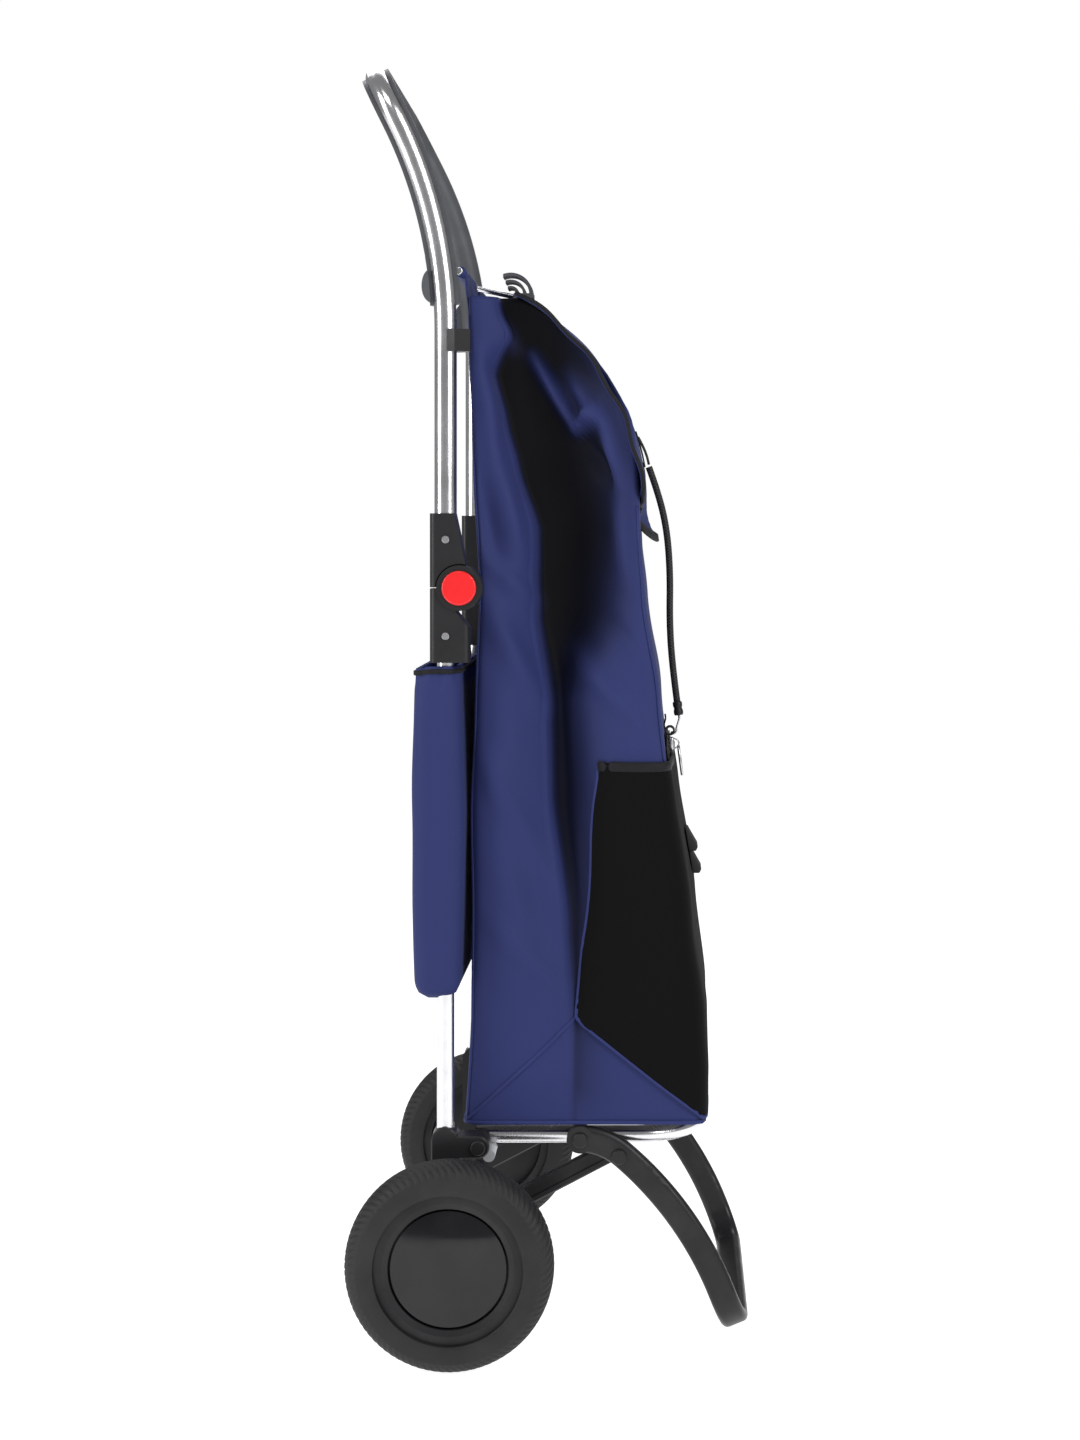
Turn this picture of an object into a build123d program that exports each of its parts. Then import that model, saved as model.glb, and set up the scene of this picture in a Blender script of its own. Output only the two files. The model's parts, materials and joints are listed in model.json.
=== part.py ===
"""A folding two-wheeled shopping trolley with a fold-down handle, hinged platform and stand, and fabric bag.

Millimetres. +X is forward, +Y to the trolley's left, +Z up. The origin is on the floor, in the middle of the
outline, and the trolley is symmetric about Y = 0. Sizes along X are given from the wheel axle.
"""

import os
from math import atan2, cos, degrees, hypot, pi, radians, sin, tan

from build123d import *

os.makedirs("parts", exist_ok=True)

# fits
slipGap = 0.1  # between pieces of one body that slide together
runGap = 0.05  # radial, on pins and the axle
clearGap = 1.0  # between moving plastic parts
softGap = 1.5  # between fabric and hard parts

# wheels
wheelRadius = 82.5
tyreWidth = 37.0
tyreBore = 58.7
wheelTrack = 370.0
hubcapRadius = 45.5
axleRadius = 4.0
bushRadius = 8.0

# frame tubes
tubeSpacing = 280.0
tubeBack = 7.5  # tube centre behind the axle
lowerTubeRadius = 7.0
upperTubeRadius = 9.0
tubeWall = 1.2

# handle arch
archStart = 823.0
archRadius = 380.0
archAngle = 26.7
cornerRadius = 45.0
gripStart = 3.0  # degrees along the arch
gripThickness = 3.0

# fold-down hinge
hingeHeight = 614.5
hingeForward = 4.5  # ahead of the axle
hubRadius = 18.3
hingeWidth = 24.0
hingeReach = 60.0
buttonRadius = 13.9
buttonProud = 3.0
pinRadius = 4.0

# platform under the bag and its front stand
platformForward = 19.5
platformHeight = 165.0
platformLength = 176.0
platformHalf = 108.0
platformTubeRadius = 7.0
platformCorner = 50.0
standPivot = 81.0  # along the platform from its own pivot
standHalf = 122.0
standDepth = 22.0
standThickness = 11.0
kneeRadius = 56.0
kneeStartTurn = 1.4
kneeEndTurn = 40.6
legRadius = 289.0
footTurn = 68.4
footCorner = 30.0
padHalf = 72.0
strutHalf = 95.0
strutWidth = 16.5
strutThickness = 8.0
linkAlong = 31.7  # strut rivet ahead of and below the stand's pivot
linkDrop = 13.6
rivetRadius = 3.0
rivetHeadRadius = 6.0

# bag
bagHalf = 124.0
bagWall = 2.0
bagBottom = 177.0
bagTop = 852.0
roofFront = 48.0
rimFront = 686.0
lidThickness = 2.0
lidBulge = 26.0
tongueHalf = 62.0
tongueDrop = 32.0
pocketTop = 468.0
pocketGap = 6.0
pocketWall = 1.5
sleeveTop = 549.0
sleeveBottom = 284.0
sleeveRear = 32.0
sleeveFront = 4.0
hemRadius = 3.0
rodHeight = 872.0
rodForward = 2.0
rodRadius = 3.0

# worked out from the sizes above
wheelY = wheelTrack / 2
tubeY = tubeSpacing / 2
kneeTop = platformForward + standPivot
kneeX = kneeTop + kneeRadius * (sin(radians(kneeEndTurn)) - sin(radians(kneeStartTurn)))
kneeZ = platformHeight - kneeRadius * (cos(radians(kneeStartTurn)) - cos(radians(kneeEndTurn)))
legForward = legRadius * (sin(radians(footTurn)) - sin(radians(kneeEndTurn)))
footX = kneeX + legForward + footCorner * cos(radians(footTurn))
footZ = (
    kneeZ
    - legRadius * (cos(radians(kneeEndTurn)) - cos(radians(footTurn)))
    - footCorner * sin(radians(footTurn))
)
footHalf = hypot(standDepth / 2 * sin(radians(footTurn)), standThickness / 2 * cos(radians(footTurn)))
footReach = footX + footHalf
axleX = (wheelRadius - footReach) / 2
tubeX = axleX - tubeBack
hingeX = axleX + hingeForward
platformX = axleX + platformForward
standX = platformX + standPivot
linkX = standX + linkAlong
linkZ = platformHeight - linkDrop
sides = {"right": -1, "left": 1}


def sidePlane(y, x=0.0, z=0.0):
    """A plane across Y whose own axes read as +X and +Z."""
    return Plane(origin=(x, y, z), x_dir=(1, 0, 0), z_dir=(0, -1, 0))


def crossPin(x, z, start, end, radius):
    """A round pin along Y, from start to end."""
    plane = Plane(origin=(x, min(start, end), z), x_dir=(1, 0, 0), z_dir=(0, 1, 0))
    return Solid.make_cylinder(radius, abs(end - start), plane)


def save(builder, name):
    builder.part.label = name
    export_step(builder.part, f"parts/{name}.step")


# wheels
def wheelPlane(side):
    """Own x runs outboard from the wheel's middle, own y runs up from the axle."""
    return Plane(origin=(axleX, side * wheelY, wheelRadius), x_dir=(0, side, 0), z_dir=(side, 0, 0))


axleLine = Axis((axleX, 0, wheelRadius), (0, 1, 0))
tyreHalf = tyreWidth / 2
beadHalf = 14.0
rimLip = 6.7
flangeInner = 47.5
webHalf = 3.0
hubRadiusWheel = 14.0
bushOuter = 9.0
capEdge = 9.0
capCrown = 17.0
capWall = 2.0

for name, side in sides.items():
    with BuildPart() as tyre:
        with BuildSketch(wheelPlane(side)):
            with BuildLine():
                shoulder = 79.0
                sideWall = 69.0
                Line((-beadHalf, tyreBore), (beadHalf, tyreBore))
                ThreePointArc((beadHalf, tyreBore), (tyreHalf, sideWall), (tyreHalf - 2.5, shoulder))
                ThreePointArc((tyreHalf - 2.5, shoulder), (0, wheelRadius), (2.5 - tyreHalf, shoulder))
                ThreePointArc((2.5 - tyreHalf, shoulder), (-tyreHalf, sideWall), (-beadHalf, tyreBore))
            make_face()
        revolve(axis=axleLine)
    save(tyre, f"tyre_{name}")

    with BuildPart() as rim:
        with BuildSketch(wheelPlane(side)):
            ribInner = tyreBore - rimLip
            with BuildLine():
                Polyline(
                    (-beadHalf, tyreBore),
                    (beadHalf, tyreBore),
                    (beadHalf, ribInner),
                    (beadHalf - 2, flangeInner),
                    (capEdge, flangeInner),
                    (capEdge, ribInner),
                    (webHalf, ribInner - 1),
                    (webHalf, hubRadiusWheel),
                    (bushOuter, hubRadiusWheel),
                    (bushOuter, bushRadius),
                    (-beadHalf, bushRadius),
                    (-beadHalf, hubRadiusWheel),
                    (-webHalf, hubRadiusWheel + 4),
                    (-webHalf, ribInner - 1),
                    (-beadHalf, ribInner),
                    close=True,
                )
            make_face()
        revolve(axis=axleLine)
    save(rim, f"rim_{name}")

    with BuildPart() as hubcap:
        rise = capCrown - capEdge - capWall
        domeRadius = (hubcapRadius**2 + rise**2) / (2 * rise)
        domeCentre = (axleX, side * (wheelY + capCrown - domeRadius), wheelRadius)
        inner, outer = side * (wheelY + webHalf), side * (wheelY + capCrown)
        add(crossPin(axleX, wheelRadius, inner, outer, hubcapRadius))
        with Locations(domeCentre):
            Sphere(domeRadius, mode=Mode.INTERSECT)
        room = Solid.make_sphere(domeRadius - capWall, Plane(domeCentre), -90, 90, 360)
        hollow = crossPin(axleX, wheelRadius, inner - side, outer, hubcapRadius - capWall)
        add(room & hollow, mode=Mode.SUBTRACT)
    save(hubcap, f"hubcap_{name}")

    with BuildPart() as bush:
        with BuildSketch(wheelPlane(side)):
            with BuildLine():
                Polyline(
                    (-beadHalf - 1, axleRadius + runGap),
                    (bushOuter, axleRadius + runGap),
                    (bushOuter, bushRadius),
                    (-beadHalf - 1, bushRadius),
                    close=True,
                )
            make_face()
        revolve(axis=axleLine)
    save(bush, f"wheel_bush_{name}")

clipWidth = 1.5
axleEnd = wheelY + bushOuter + clipWidth + runGap
with BuildPart() as axle:
    add(crossPin(axleX, wheelRadius, -axleEnd, axleEnd, axleRadius))
    chamfer(axle.edges().filter_by(GeomType.CIRCLE), length=0.6)
save(axle, "axle")

with BuildPart() as clips:
    for side in sides.values():
        clipStart = side * (wheelY + bushOuter + runGap)
        add(crossPin(axleX, wheelRadius, clipStart, clipStart + side * clipWidth * 0.6, bushRadius))
    add(crossPin(axleX, wheelRadius, -axleEnd, axleEnd, axleRadius), mode=Mode.SUBTRACT)
save(clips, "axle_clips")

# lower frame
spacerWall = 3.0
bracketHalf = 10.0
bracketTop = 181.0
bracketRadius = 11.0
lowerTubeBottom = wheelRadius + axleRadius + 10
lowerTubeTop = hingeHeight - hubRadius - 2
bossInner = platformHalf + platformTubeRadius + clearGap

with BuildPart() as spacers:
    for side in sides.values():
        inner = side * (tubeY + bracketHalf)
        outer = side * (wheelY - beadHalf - 1 - 2 * slipGap)
        add(crossPin(axleX, wheelRadius, inner, outer, axleRadius + spacerWall))
    add(crossPin(axleX, wheelRadius, -axleEnd, axleEnd, axleRadius), mode=Mode.SUBTRACT)
save(spacers, "axle_spacers")

for name, side in sides.items():
    with BuildPart() as lowerTube:
        with BuildSketch(Plane.XY.offset(lowerTubeBottom)):
            with Locations((tubeX, side * tubeY)):
                Circle(lowerTubeRadius)
                Circle(lowerTubeRadius - tubeWall, mode=Mode.SUBTRACT)
        extrude(amount=lowerTubeTop - lowerTubeBottom)
    save(lowerTube, f"lower_tube_{name}")

    with BuildPart() as axleBracket:
        with BuildSketch(sidePlane(side * tubeY)):
            with Locations((axleX, wheelRadius)):
                Circle(bracketRadius + 1)
            with Locations((tubeX, lowerTubeBottom + 10), (tubeX, bracketTop - bracketRadius)):
                Circle(bracketRadius)
            make_hull()
        with BuildSketch(sidePlane(side * tubeY)):
            with Locations((tubeX, platformHeight), (platformX, platformHeight)):
                Circle(bracketRadius - 2)
            make_hull()
        extrude(amount=bracketHalf, both=True)
        add(crossPin(platformX, platformHeight, side * bossInner, side * tubeY, platformTubeRadius))
        with BuildSketch(Plane.XY.offset(bracketTop + 1)):
            with Locations((tubeX, side * tubeY)):
                Circle(lowerTubeRadius + slipGap)
        extrude(amount=lowerTubeBottom - slipGap - bracketTop - 1, mode=Mode.SUBTRACT)
        near, far = side * (tubeY - 2 * bracketHalf), side * (tubeY + 2 * bracketHalf)
        axleHole = crossPin(axleX, wheelRadius, near, far, axleRadius + slipGap)
        add(axleHole, mode=Mode.SUBTRACT)
        rivetHole = crossPin(platformX, platformHeight, side * (bossInner - 1), far, rivetRadius + slipGap)
        add(rivetHole, mode=Mode.SUBTRACT)
        outerFace = axleBracket.faces().filter_by(Axis.Y).sort_by(Axis.Y)[0 if side < 0 else -1]
        chamfer(outerFace.outer_wire().edges(), length=1.2)
    save(axleBracket, f"axle_bracket_{name}")

rivetHead = 3.0
headChamfer = 0.8


def headEdges(rivets):
    """The round edges of the rivets' heads."""
    return rivets.edges().filter_by(GeomType.CIRCLE).filter_by(lambda e: e.radius > rivetRadius)


with BuildPart() as pivotRivets:
    for side in sides.values():
        outer = side * (tubeY + bracketHalf)
        inner = side * (platformHalf - platformTubeRadius - slipGap)
        add(crossPin(platformX, platformHeight, inner, outer, rivetRadius))
        add(crossPin(platformX, platformHeight, outer, outer + side * rivetHead, rivetHeadRadius))
    chamfer(headEdges(pivotRivets), length=headChamfer)
save(pivotRivets, "platform_rivets")

stopRadius = 5.0
with BuildPart() as stops:
    for side in sides.values():
        stopZ = platformHeight - platformTubeRadius - stopRadius - slipGap
        add(
            crossPin(
                platformX + bracketRadius - 4,
                stopZ,
                side * (platformHalf - platformTubeRadius + 2),
                side * (tubeY - bracketHalf),
                stopRadius,
            )
        )
save(stops, "platform_stops")

# fold-down hinge
halfWidth = hingeWidth / 2
cheekGap = 0.5
cheekOuter = tubeY + halfWidth + 2
cheekInner = tubeY - halfWidth + 0.5
pocketDepth = 10.0
screwRadius = 3.0


tubeOffset = tubeX - hingeX
sleeveBack = tubeOffset - halfWidth
lowerOutline = [
    (sleeveBack, -cheekGap),
    (-8, -cheekGap),
    (-2, -20),
    (8, -32),
    (8, -hingeReach),
    (sleeveBack, -hingeReach),
]
upperOutline = [
    (sleeveBack, cheekGap),
    (2, cheekGap),
    (4.5, 21),
    (-4, hingeReach),
    (sleeveBack, hingeReach),
]

for name, side in sides.items():
    inner, middle, outer = side * cheekInner, side * tubeY, side * cheekOuter
    with BuildPart() as lowerHinge:
        with BuildSketch(sidePlane(side * tubeY, hingeX, hingeHeight)):
            Polygon(*lowerOutline, align=None)
        extrude(amount=halfWidth, both=True)
        fillet(lowerHinge.edges().filter_by(Axis.Z), radius=5)
        add(
            crossPin(hingeX, hingeHeight, inner - side * 5, middle + side * cheekGap, hubRadius + clearGap),
            mode=Mode.SUBTRACT,
        )
        add(crossPin(hingeX, hingeHeight, middle + side * cheekGap, outer, hubRadius))
        add(
            crossPin(hingeX, hingeHeight, outer - side * pocketDepth, outer + side, buttonRadius + slipGap),
            mode=Mode.SUBTRACT,
        )
        add(crossPin(hingeX, hingeHeight, inner, outer, pinRadius), mode=Mode.SUBTRACT)
        with BuildSketch(Plane.XY.offset(hingeHeight - hingeReach - 1)):
            with Locations((tubeX, side * tubeY)):
                Circle(lowerTubeRadius + slipGap)
        extrude(amount=lowerTubeTop - hingeHeight + hingeReach + 1 + slipGap, mode=Mode.SUBTRACT)
    save(lowerHinge, f"lower_hinge_{name}")

    with BuildPart() as upperHinge:
        with BuildSketch(sidePlane(side * tubeY, hingeX, hingeHeight)):
            Polygon(*upperOutline, align=None)
        extrude(amount=halfWidth, both=True)
        fillet(upperHinge.edges().filter_by(Axis.Z), radius=5)
        add(
            crossPin(hingeX, hingeHeight, middle - side * cheekGap, outer + side, hubRadius + clearGap),
            mode=Mode.SUBTRACT,
        )
        add(crossPin(hingeX, hingeHeight, inner, middle - side * cheekGap, hubRadius))
        add(crossPin(hingeX, hingeHeight, inner - side, middle, pinRadius + runGap), mode=Mode.SUBTRACT)
        with BuildSketch(Plane.XY.offset(hingeHeight + hingeReach + 1)):
            with Locations((tubeX, side * tubeY)):
                Circle(upperTubeRadius + slipGap)
        extrude(amount=hubRadius + 4 - hingeReach - 1, mode=Mode.SUBTRACT)
    save(upperHinge, f"upper_hinge_{name}")

with BuildPart() as hingePins:
    for side in sides.values():
        add(
            crossPin(
                hingeX,
                hingeHeight,
                side * (cheekInner + slipGap),
                side * (cheekOuter - pocketDepth),
                pinRadius,
            )
        )
save(hingePins, "hinge_pins")

springHeight = 2.2
with BuildPart() as springs:
    for side in sides.values():
        floor = side * (cheekOuter - pocketDepth)
        add(crossPin(hingeX, hingeHeight, floor, floor + side * springHeight, buttonRadius - 2))
        add(
            crossPin(hingeX, hingeHeight, floor - side, floor + side * (springHeight + 1), buttonRadius - 6),
            mode=Mode.SUBTRACT,
        )
save(springs, "button_springs")

buttonThickness = 7.0
for name, side in sides.items():
    top = side * (cheekOuter + buttonProud)
    with BuildPart() as button:
        add(crossPin(hingeX, hingeHeight, top - side * buttonThickness, top, buttonRadius))
        crown = button.faces().filter_by(Axis.Y).sort_by(Axis.Y)[0 if side < 0 else -1]
        fillet(crown.edges(), radius=1.6)
    save(button, f"button_{name}")


def screwHeads(height, name):
    """Screw heads on the outer faces of the hinge pieces."""
    with BuildPart() as screws:
        for side in sides.values():
            face = side * (tubeY + halfWidth)
            add(crossPin(tubeX + 1, height, face, face + side * 1.2, screwRadius))
        chamfer(screws.edges().filter_by(GeomType.CIRCLE), length=0.3)
    save(screws, name)


screwHeads(hingeHeight - 38.5, "lower_screws")
screwHeads(hingeHeight + 39, "upper_screws")

# handle
archCentreX = tubeX - archRadius
turn = radians(archAngle)
archEnd = (archCentreX + archRadius * cos(turn), archStart + archRadius * sin(turn))
along = (-sin(turn), cos(turn))


def onArch(angle):
    """A point of the leg's curve, as x and z."""
    return archCentreX + archRadius * cos(radians(angle)), archStart + archRadius * sin(radians(angle))


def archPath(startAngle, straightFrom=None):
    """The arch's centre line from the right leg to the left one, from an angle along the leg's curve."""
    half = sin(radians(45))
    first, middle = onArch(startAngle), onArch((startAngle + archAngle) / 2)
    legs = []
    for side in sides.values():
        y, inward = side * tubeY, -side
        corner = [
            (
                archEnd[0] + along[0] * cornerRadius * up,
                y + inward * cornerRadius * across,
                archEnd[1] + along[1] * cornerRadius * up,
            )
            for up, across in ((half, 1 - half), (1, 1))
        ]
        legs.append([*((point[0], y, point[1]) for point in (first, middle, archEnd)), *corner])
    right, left = legs
    with BuildLine() as path:
        if straightFrom is not None:
            Line((tubeX, -tubeY, straightFrom), right[0])
        ThreePointArc(*right[:3])
        ThreePointArc(*right[2:])
        Line(right[4], left[4])
        ThreePointArc(*reversed(left[2:]))
        ThreePointArc(*reversed(left[:3]))
        if straightFrom is not None:
            Line(left[0], (tubeX, tubeY, straightFrom))
    return path.wire()


handleBottom = hingeHeight + hubRadius + 4 + slipGap
handlePath = archPath(0, handleBottom)
gripPath = archPath(gripStart)
with BuildPart() as handleTube:
    with BuildSketch(Plane.XY.offset(handleBottom)):
        with Locations((tubeX, -tubeY)):
            Circle(upperTubeRadius)
            Circle(upperTubeRadius - tubeWall, mode=Mode.SUBTRACT)
    sweep(path=handlePath)
save(handleTube, "handle_tube")

gripX, gripZ = onArch(gripStart)
gripPlane = Plane(
    origin=(gripX, -tubeY, gripZ),
    x_dir=(0, 1, 0),
    z_dir=(-sin(radians(gripStart)), 0, cos(radians(gripStart))),
)
gripCover = 3.0
with BuildPart() as handleGrip:
    with BuildSketch(gripPlane):
        Circle(upperTubeRadius + gripThickness)
        Circle(upperTubeRadius + slipGap, mode=Mode.SUBTRACT)
        with Locations((-gripCover - upperTubeRadius * 2, 0)):
            Rectangle(upperTubeRadius * 4, upperTubeRadius * 4, mode=Mode.SUBTRACT)
    sweep(path=gripPath)
save(handleGrip, "handle_grip")

with BuildPart() as gripOuter:
    with BuildSketch(gripPlane):
        Circle(upperTubeRadius + gripThickness + slipGap)
    sweep(path=gripPath)

knobHeight = 26.0
knobProud = 7.0
knobZ = archStart + 35
with BuildPart() as gripKnobs:
    for side in sides.values():
        with BuildSketch(sidePlane(side * tubeY)):
            with Locations((tubeX - upperTubeRadius - gripThickness, knobZ)):
                Ellipse(knobProud, knobHeight / 2)
        extrude(amount=5, both=True)
    add(gripOuter.part, mode=Mode.SUBTRACT)
    add(mirror(gripOuter.part, about=Plane.XZ), mode=Mode.SUBTRACT)
    knobs = [s for s in gripKnobs.solids() if s.center().X < tubeX - upperTubeRadius]
with BuildPart() as rearKnobs:
    add(knobs)
save(rearKnobs, "grip_knobs")

clipHeight = 18.0
with BuildPart() as bagClips:
    for side in sides.values():
        with BuildSketch(Plane.XY.offset(archStart - clipHeight)):
            with Locations((tubeX, side * tubeY)):
                Circle(upperTubeRadius + 3)
            with Locations((tubeX + upperTubeRadius + 4, side * tubeY)):
                Rectangle(14, 12)
            with Locations((tubeX, side * tubeY)):
                Circle(upperTubeRadius + slipGap, mode=Mode.SUBTRACT)
        extrude(amount=clipHeight)
    fillet(bagClips.edges().filter_by(Axis.Z).group_by(Axis.X)[-1], radius=4)
save(bagClips, "bag_clips")

# platform
with BuildPart() as platformTube:
    tailLength = 5.0
    frontX = platformX + platformLength
    with BuildLine() as platformPath:
        FilletPolyline(
            (platformX - tailLength, -platformHalf, platformHeight),
            (frontX, -platformHalf, platformHeight),
            (frontX, platformHalf, platformHeight),
            (platformX - tailLength, platformHalf, platformHeight),
            radius=platformCorner,
        )
    with BuildSketch(Plane(origin=(platformX - tailLength, -platformHalf, platformHeight), z_dir=(1, 0, 0))):
        Circle(platformTubeRadius)
        Circle(platformTubeRadius - tubeWall, mode=Mode.SUBTRACT)
    sweep()
    pivots = ((platformX, rivetRadius + runGap), (standX, rivetRadius + slipGap))
    for x, radius in pivots:
        add(crossPin(x, platformHeight, -tubeY, tubeY, radius), mode=Mode.SUBTRACT)
save(platformTube, "platform_tube")

wireRadius = 3.0
crossX = platformX + standPivot / 2
with BuildPart() as crossWire:
    end = platformHalf - platformTubeRadius - slipGap
    add(crossPin(crossX, platformHeight, -end, end, wireRadius))
save(crossWire, "platform_cross_wire")

boardThickness = 3.0
boardMiddle = 104.0
boardLength = 180.0
boardMargin = 4.0
boardCorner = 12.0
boardZ = bagBottom + bagWall + 0.4
with BuildPart() as baseBoard:
    with BuildSketch(Plane.XY.offset(boardZ)):
        with Locations((axleX + boardMiddle, 0)):
            RectangleRounded(boardLength, 2 * (bagHalf - bagWall - boardMargin), boardCorner)
    extrude(amount=boardThickness)
save(baseBoard, "base_board")

with BuildPart() as standRivets:
    for side in sides.values():
        outer = side * (standHalf + standThickness / 2)
        inner = side * (platformHalf - platformTubeRadius - slipGap)
        add(crossPin(standX, platformHeight, inner, outer, rivetRadius))
        head = outer + side * slipGap
        add(crossPin(standX, platformHeight, head, outer + side * rivetHead, rivetHeadRadius))
        add(crossPin(standX, platformHeight, outer, head, rivetRadius))
    chamfer(headEdges(standRivets), length=headChamfer)
save(standRivets, "stand_rivets")

# stand
barX, barZ = axleX + footX, footZ


def kneeAt(turnDegrees):
    a = radians(turnDegrees)
    return (
        standX + kneeRadius * (sin(a) - sin(radians(kneeStartTurn))),
        platformHeight - kneeRadius * (cos(radians(kneeStartTurn)) - cos(a)),
    )


def legAt(turnDegrees):
    a = radians(turnDegrees)
    return (
        axleX + kneeX + legRadius * (sin(a) - sin(radians(kneeEndTurn))),
        kneeZ - legRadius * (cos(radians(kneeEndTurn)) - cos(a)),
    )


def standPoints(side):
    """The leg's points from its pivot down to the foot bar, on one side."""
    y, half = side * standHalf, sin(radians(45))
    knee = [kneeAt(t) for t in (kneeStartTurn, (kneeStartTurn + kneeEndTurn) / 2, kneeEndTurn)]
    leg = [legAt(t) for t in ((kneeEndTurn + footTurn) / 2, footTurn)]
    flat = [(x, y, z) for x, z in knee + leg]
    drop = footCorner * half
    bend = (
        leg[1][0] + drop * cos(radians(footTurn)),
        y - side * footCorner * (1 - half),
        leg[1][1] - drop * sin(radians(footTurn)),
    )
    return [*flat, bend, (barX, y - side * footCorner, barZ)]


right, left = standPoints(-1), standPoints(1)
with BuildPart() as standLoop:
    with BuildLine():
        ThreePointArc(*right[:3])
        ThreePointArc(*right[2:5])
        ThreePointArc(*right[4:])
        Line(right[-1], left[-1])
        ThreePointArc(*reversed(left[4:]))
        ThreePointArc(*reversed(left[2:5]))
        ThreePointArc(*reversed(left[:3]))
    startTurn = radians(kneeStartTurn)
    startPlane = Plane(
        origin=(standX, -standHalf, platformHeight),
        x_dir=(0, 1, 0),
        z_dir=(cos(startTurn), 0, -sin(startTurn)),
    )
    with BuildSketch(startPlane):
        RectangleRounded(standThickness, standDepth, standThickness * 0.45)
    sweep()
    for side in sides.values():
        outer, inner = side * (standHalf + standThickness / 2), side * (standHalf - standThickness / 2)
        add(crossPin(standX, platformHeight, inner, outer, standDepth / 2))
        pivotHole = crossPin(standX, platformHeight, inner - side, outer + side, rivetRadius + runGap)
        add(pivotHole, mode=Mode.SUBTRACT)
        add(crossPin(linkX, linkZ, inner - side, outer + side, rivetRadius + slipGap), mode=Mode.SUBTRACT)
save(standLoop, "stand_loop")

with BuildPart() as footPads:
    for side in sides.values():
        with BuildSketch(Plane.XY):
            with Locations((barX, side * padHalf / 2)):
                RectangleRounded(standDepth - 4, padHalf * 0.6, 5)
        extrude(amount=barZ)
    add(standLoop.part, mode=Mode.SUBTRACT)
save(footPads, "foot_pads")

with BuildPart() as linkRivets:
    for side in sides.values():
        outer = side * (standHalf + standThickness / 2)
        inner = side * (strutHalf + strutThickness / 2 + clearGap)
        add(crossPin(linkX, linkZ, inner, outer, rivetRadius))
        add(crossPin(linkX, linkZ, outer, outer + side * rivetHead, rivetHeadRadius))
    chamfer(headEdges(linkRivets), length=headChamfer)
save(linkRivets, "link_rivets")

for name, side in sides.items():
    with BuildPart() as strut:
        with BuildSketch(sidePlane(side * strutHalf)):
            with Locations((axleX, wheelRadius), (linkX, linkZ)):
                Circle(strutWidth / 2)
            make_hull()
        extrude(amount=strutThickness / 2, both=True)
        outline = strut.faces().filter_by(Axis.Y)
        chamfer(outline.edges(), length=1.5)
        add(
            crossPin(
                axleX,
                wheelRadius,
                side * (strutHalf - 2 * strutThickness),
                side * (strutHalf + 2 * strutThickness),
                axleRadius + runGap,
            ),
            mode=Mode.SUBTRACT,
        )
        groove = Plane(
            origin=(
                (axleX + linkX) / 2,
                side * (strutHalf + strutThickness / 2),
                (wheelRadius + linkZ) / 2,
            ),
            x_dir=(linkX - axleX, 0, linkZ - wheelRadius),
            z_dir=(0, side, 0),
        )
        with BuildSketch(groove):
            SlotOverall(hypot(linkX - axleX, linkZ - wheelRadius) - strutWidth * 1.6, strutWidth * 0.4)
        extrude(amount=-1.5, mode=Mode.SUBTRACT)
    save(strut, f"strut_{name}")

# bag
bagRows = [
    # height, rear, front, gusset fold, fold depth
    (bagBottom, 6, 202, 96, 1),
    (263, 10, 199, 96, 12),
    (440, 12, 175, 79, 34),
    (600, 16, 154, 66, 42),
    (686, 14, 147, 56, 40),
    (bagTop, 7, 116, 34, 14),
]


def bagSection(row, inset, drop=0.0):
    """The bag's outline at one height, pinched in at the side gussets."""
    height, rear, front, fold, depth = row
    half = bagHalf - inset
    foldY = bagHalf - depth - inset
    corner = inset + 5
    with BuildSketch(Plane.XY.offset(height - drop)) as sketch:
        with BuildLine():
            Polyline(
                (axleX + rear + inset, -half + 5),
                (axleX + rear + corner, -half),
                (axleX + fold, -foldY),
                (axleX + front - corner, -half),
                (axleX + front - inset, -half + 5),
                (axleX + front - inset, half - 5),
                (axleX + front - corner, half),
                (axleX + fold, foldY),
                (axleX + rear + corner, half),
                (axleX + rear + inset, half - 5),
                close=True,
            )
        make_face()
    return sketch.sketch


def bagFront(height):
    """How far ahead of the axle the bag's front is at a height."""
    for low, high in zip(bagRows, bagRows[1:]):
        if height <= high[0]:
            share = (height - low[0]) / (high[0] - low[0])
            return low[2] + (high[2] - low[2]) * share
    return bagRows[-1][2]


lidRear = (axleX + roofFront, bagTop + 2)
lidFront = (axleX + bagFront(rimFront) + 6, rimFront)
chordX, chordZ = lidFront[0] - lidRear[0], lidFront[1] - lidRear[1]
chord = hypot(chordX, chordZ)
normal = (-chordZ / chord, chordX / chord)


def lidArc(lift):
    """Three points of the lid's curve, moved out by lift."""
    middle = ((lidRear[0] + lidFront[0]) / 2, (lidRear[1] + lidFront[1]) / 2)
    return (
        (lidRear[0] + normal[0] * lift, lidRear[1] + normal[1] * lift),
        (middle[0] + normal[0] * (lidBulge + lift), middle[1] + normal[1] * (lidBulge + lift)),
        (lidFront[0] + normal[0] * lift, lidFront[1] + normal[1] * lift),
    )


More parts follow.
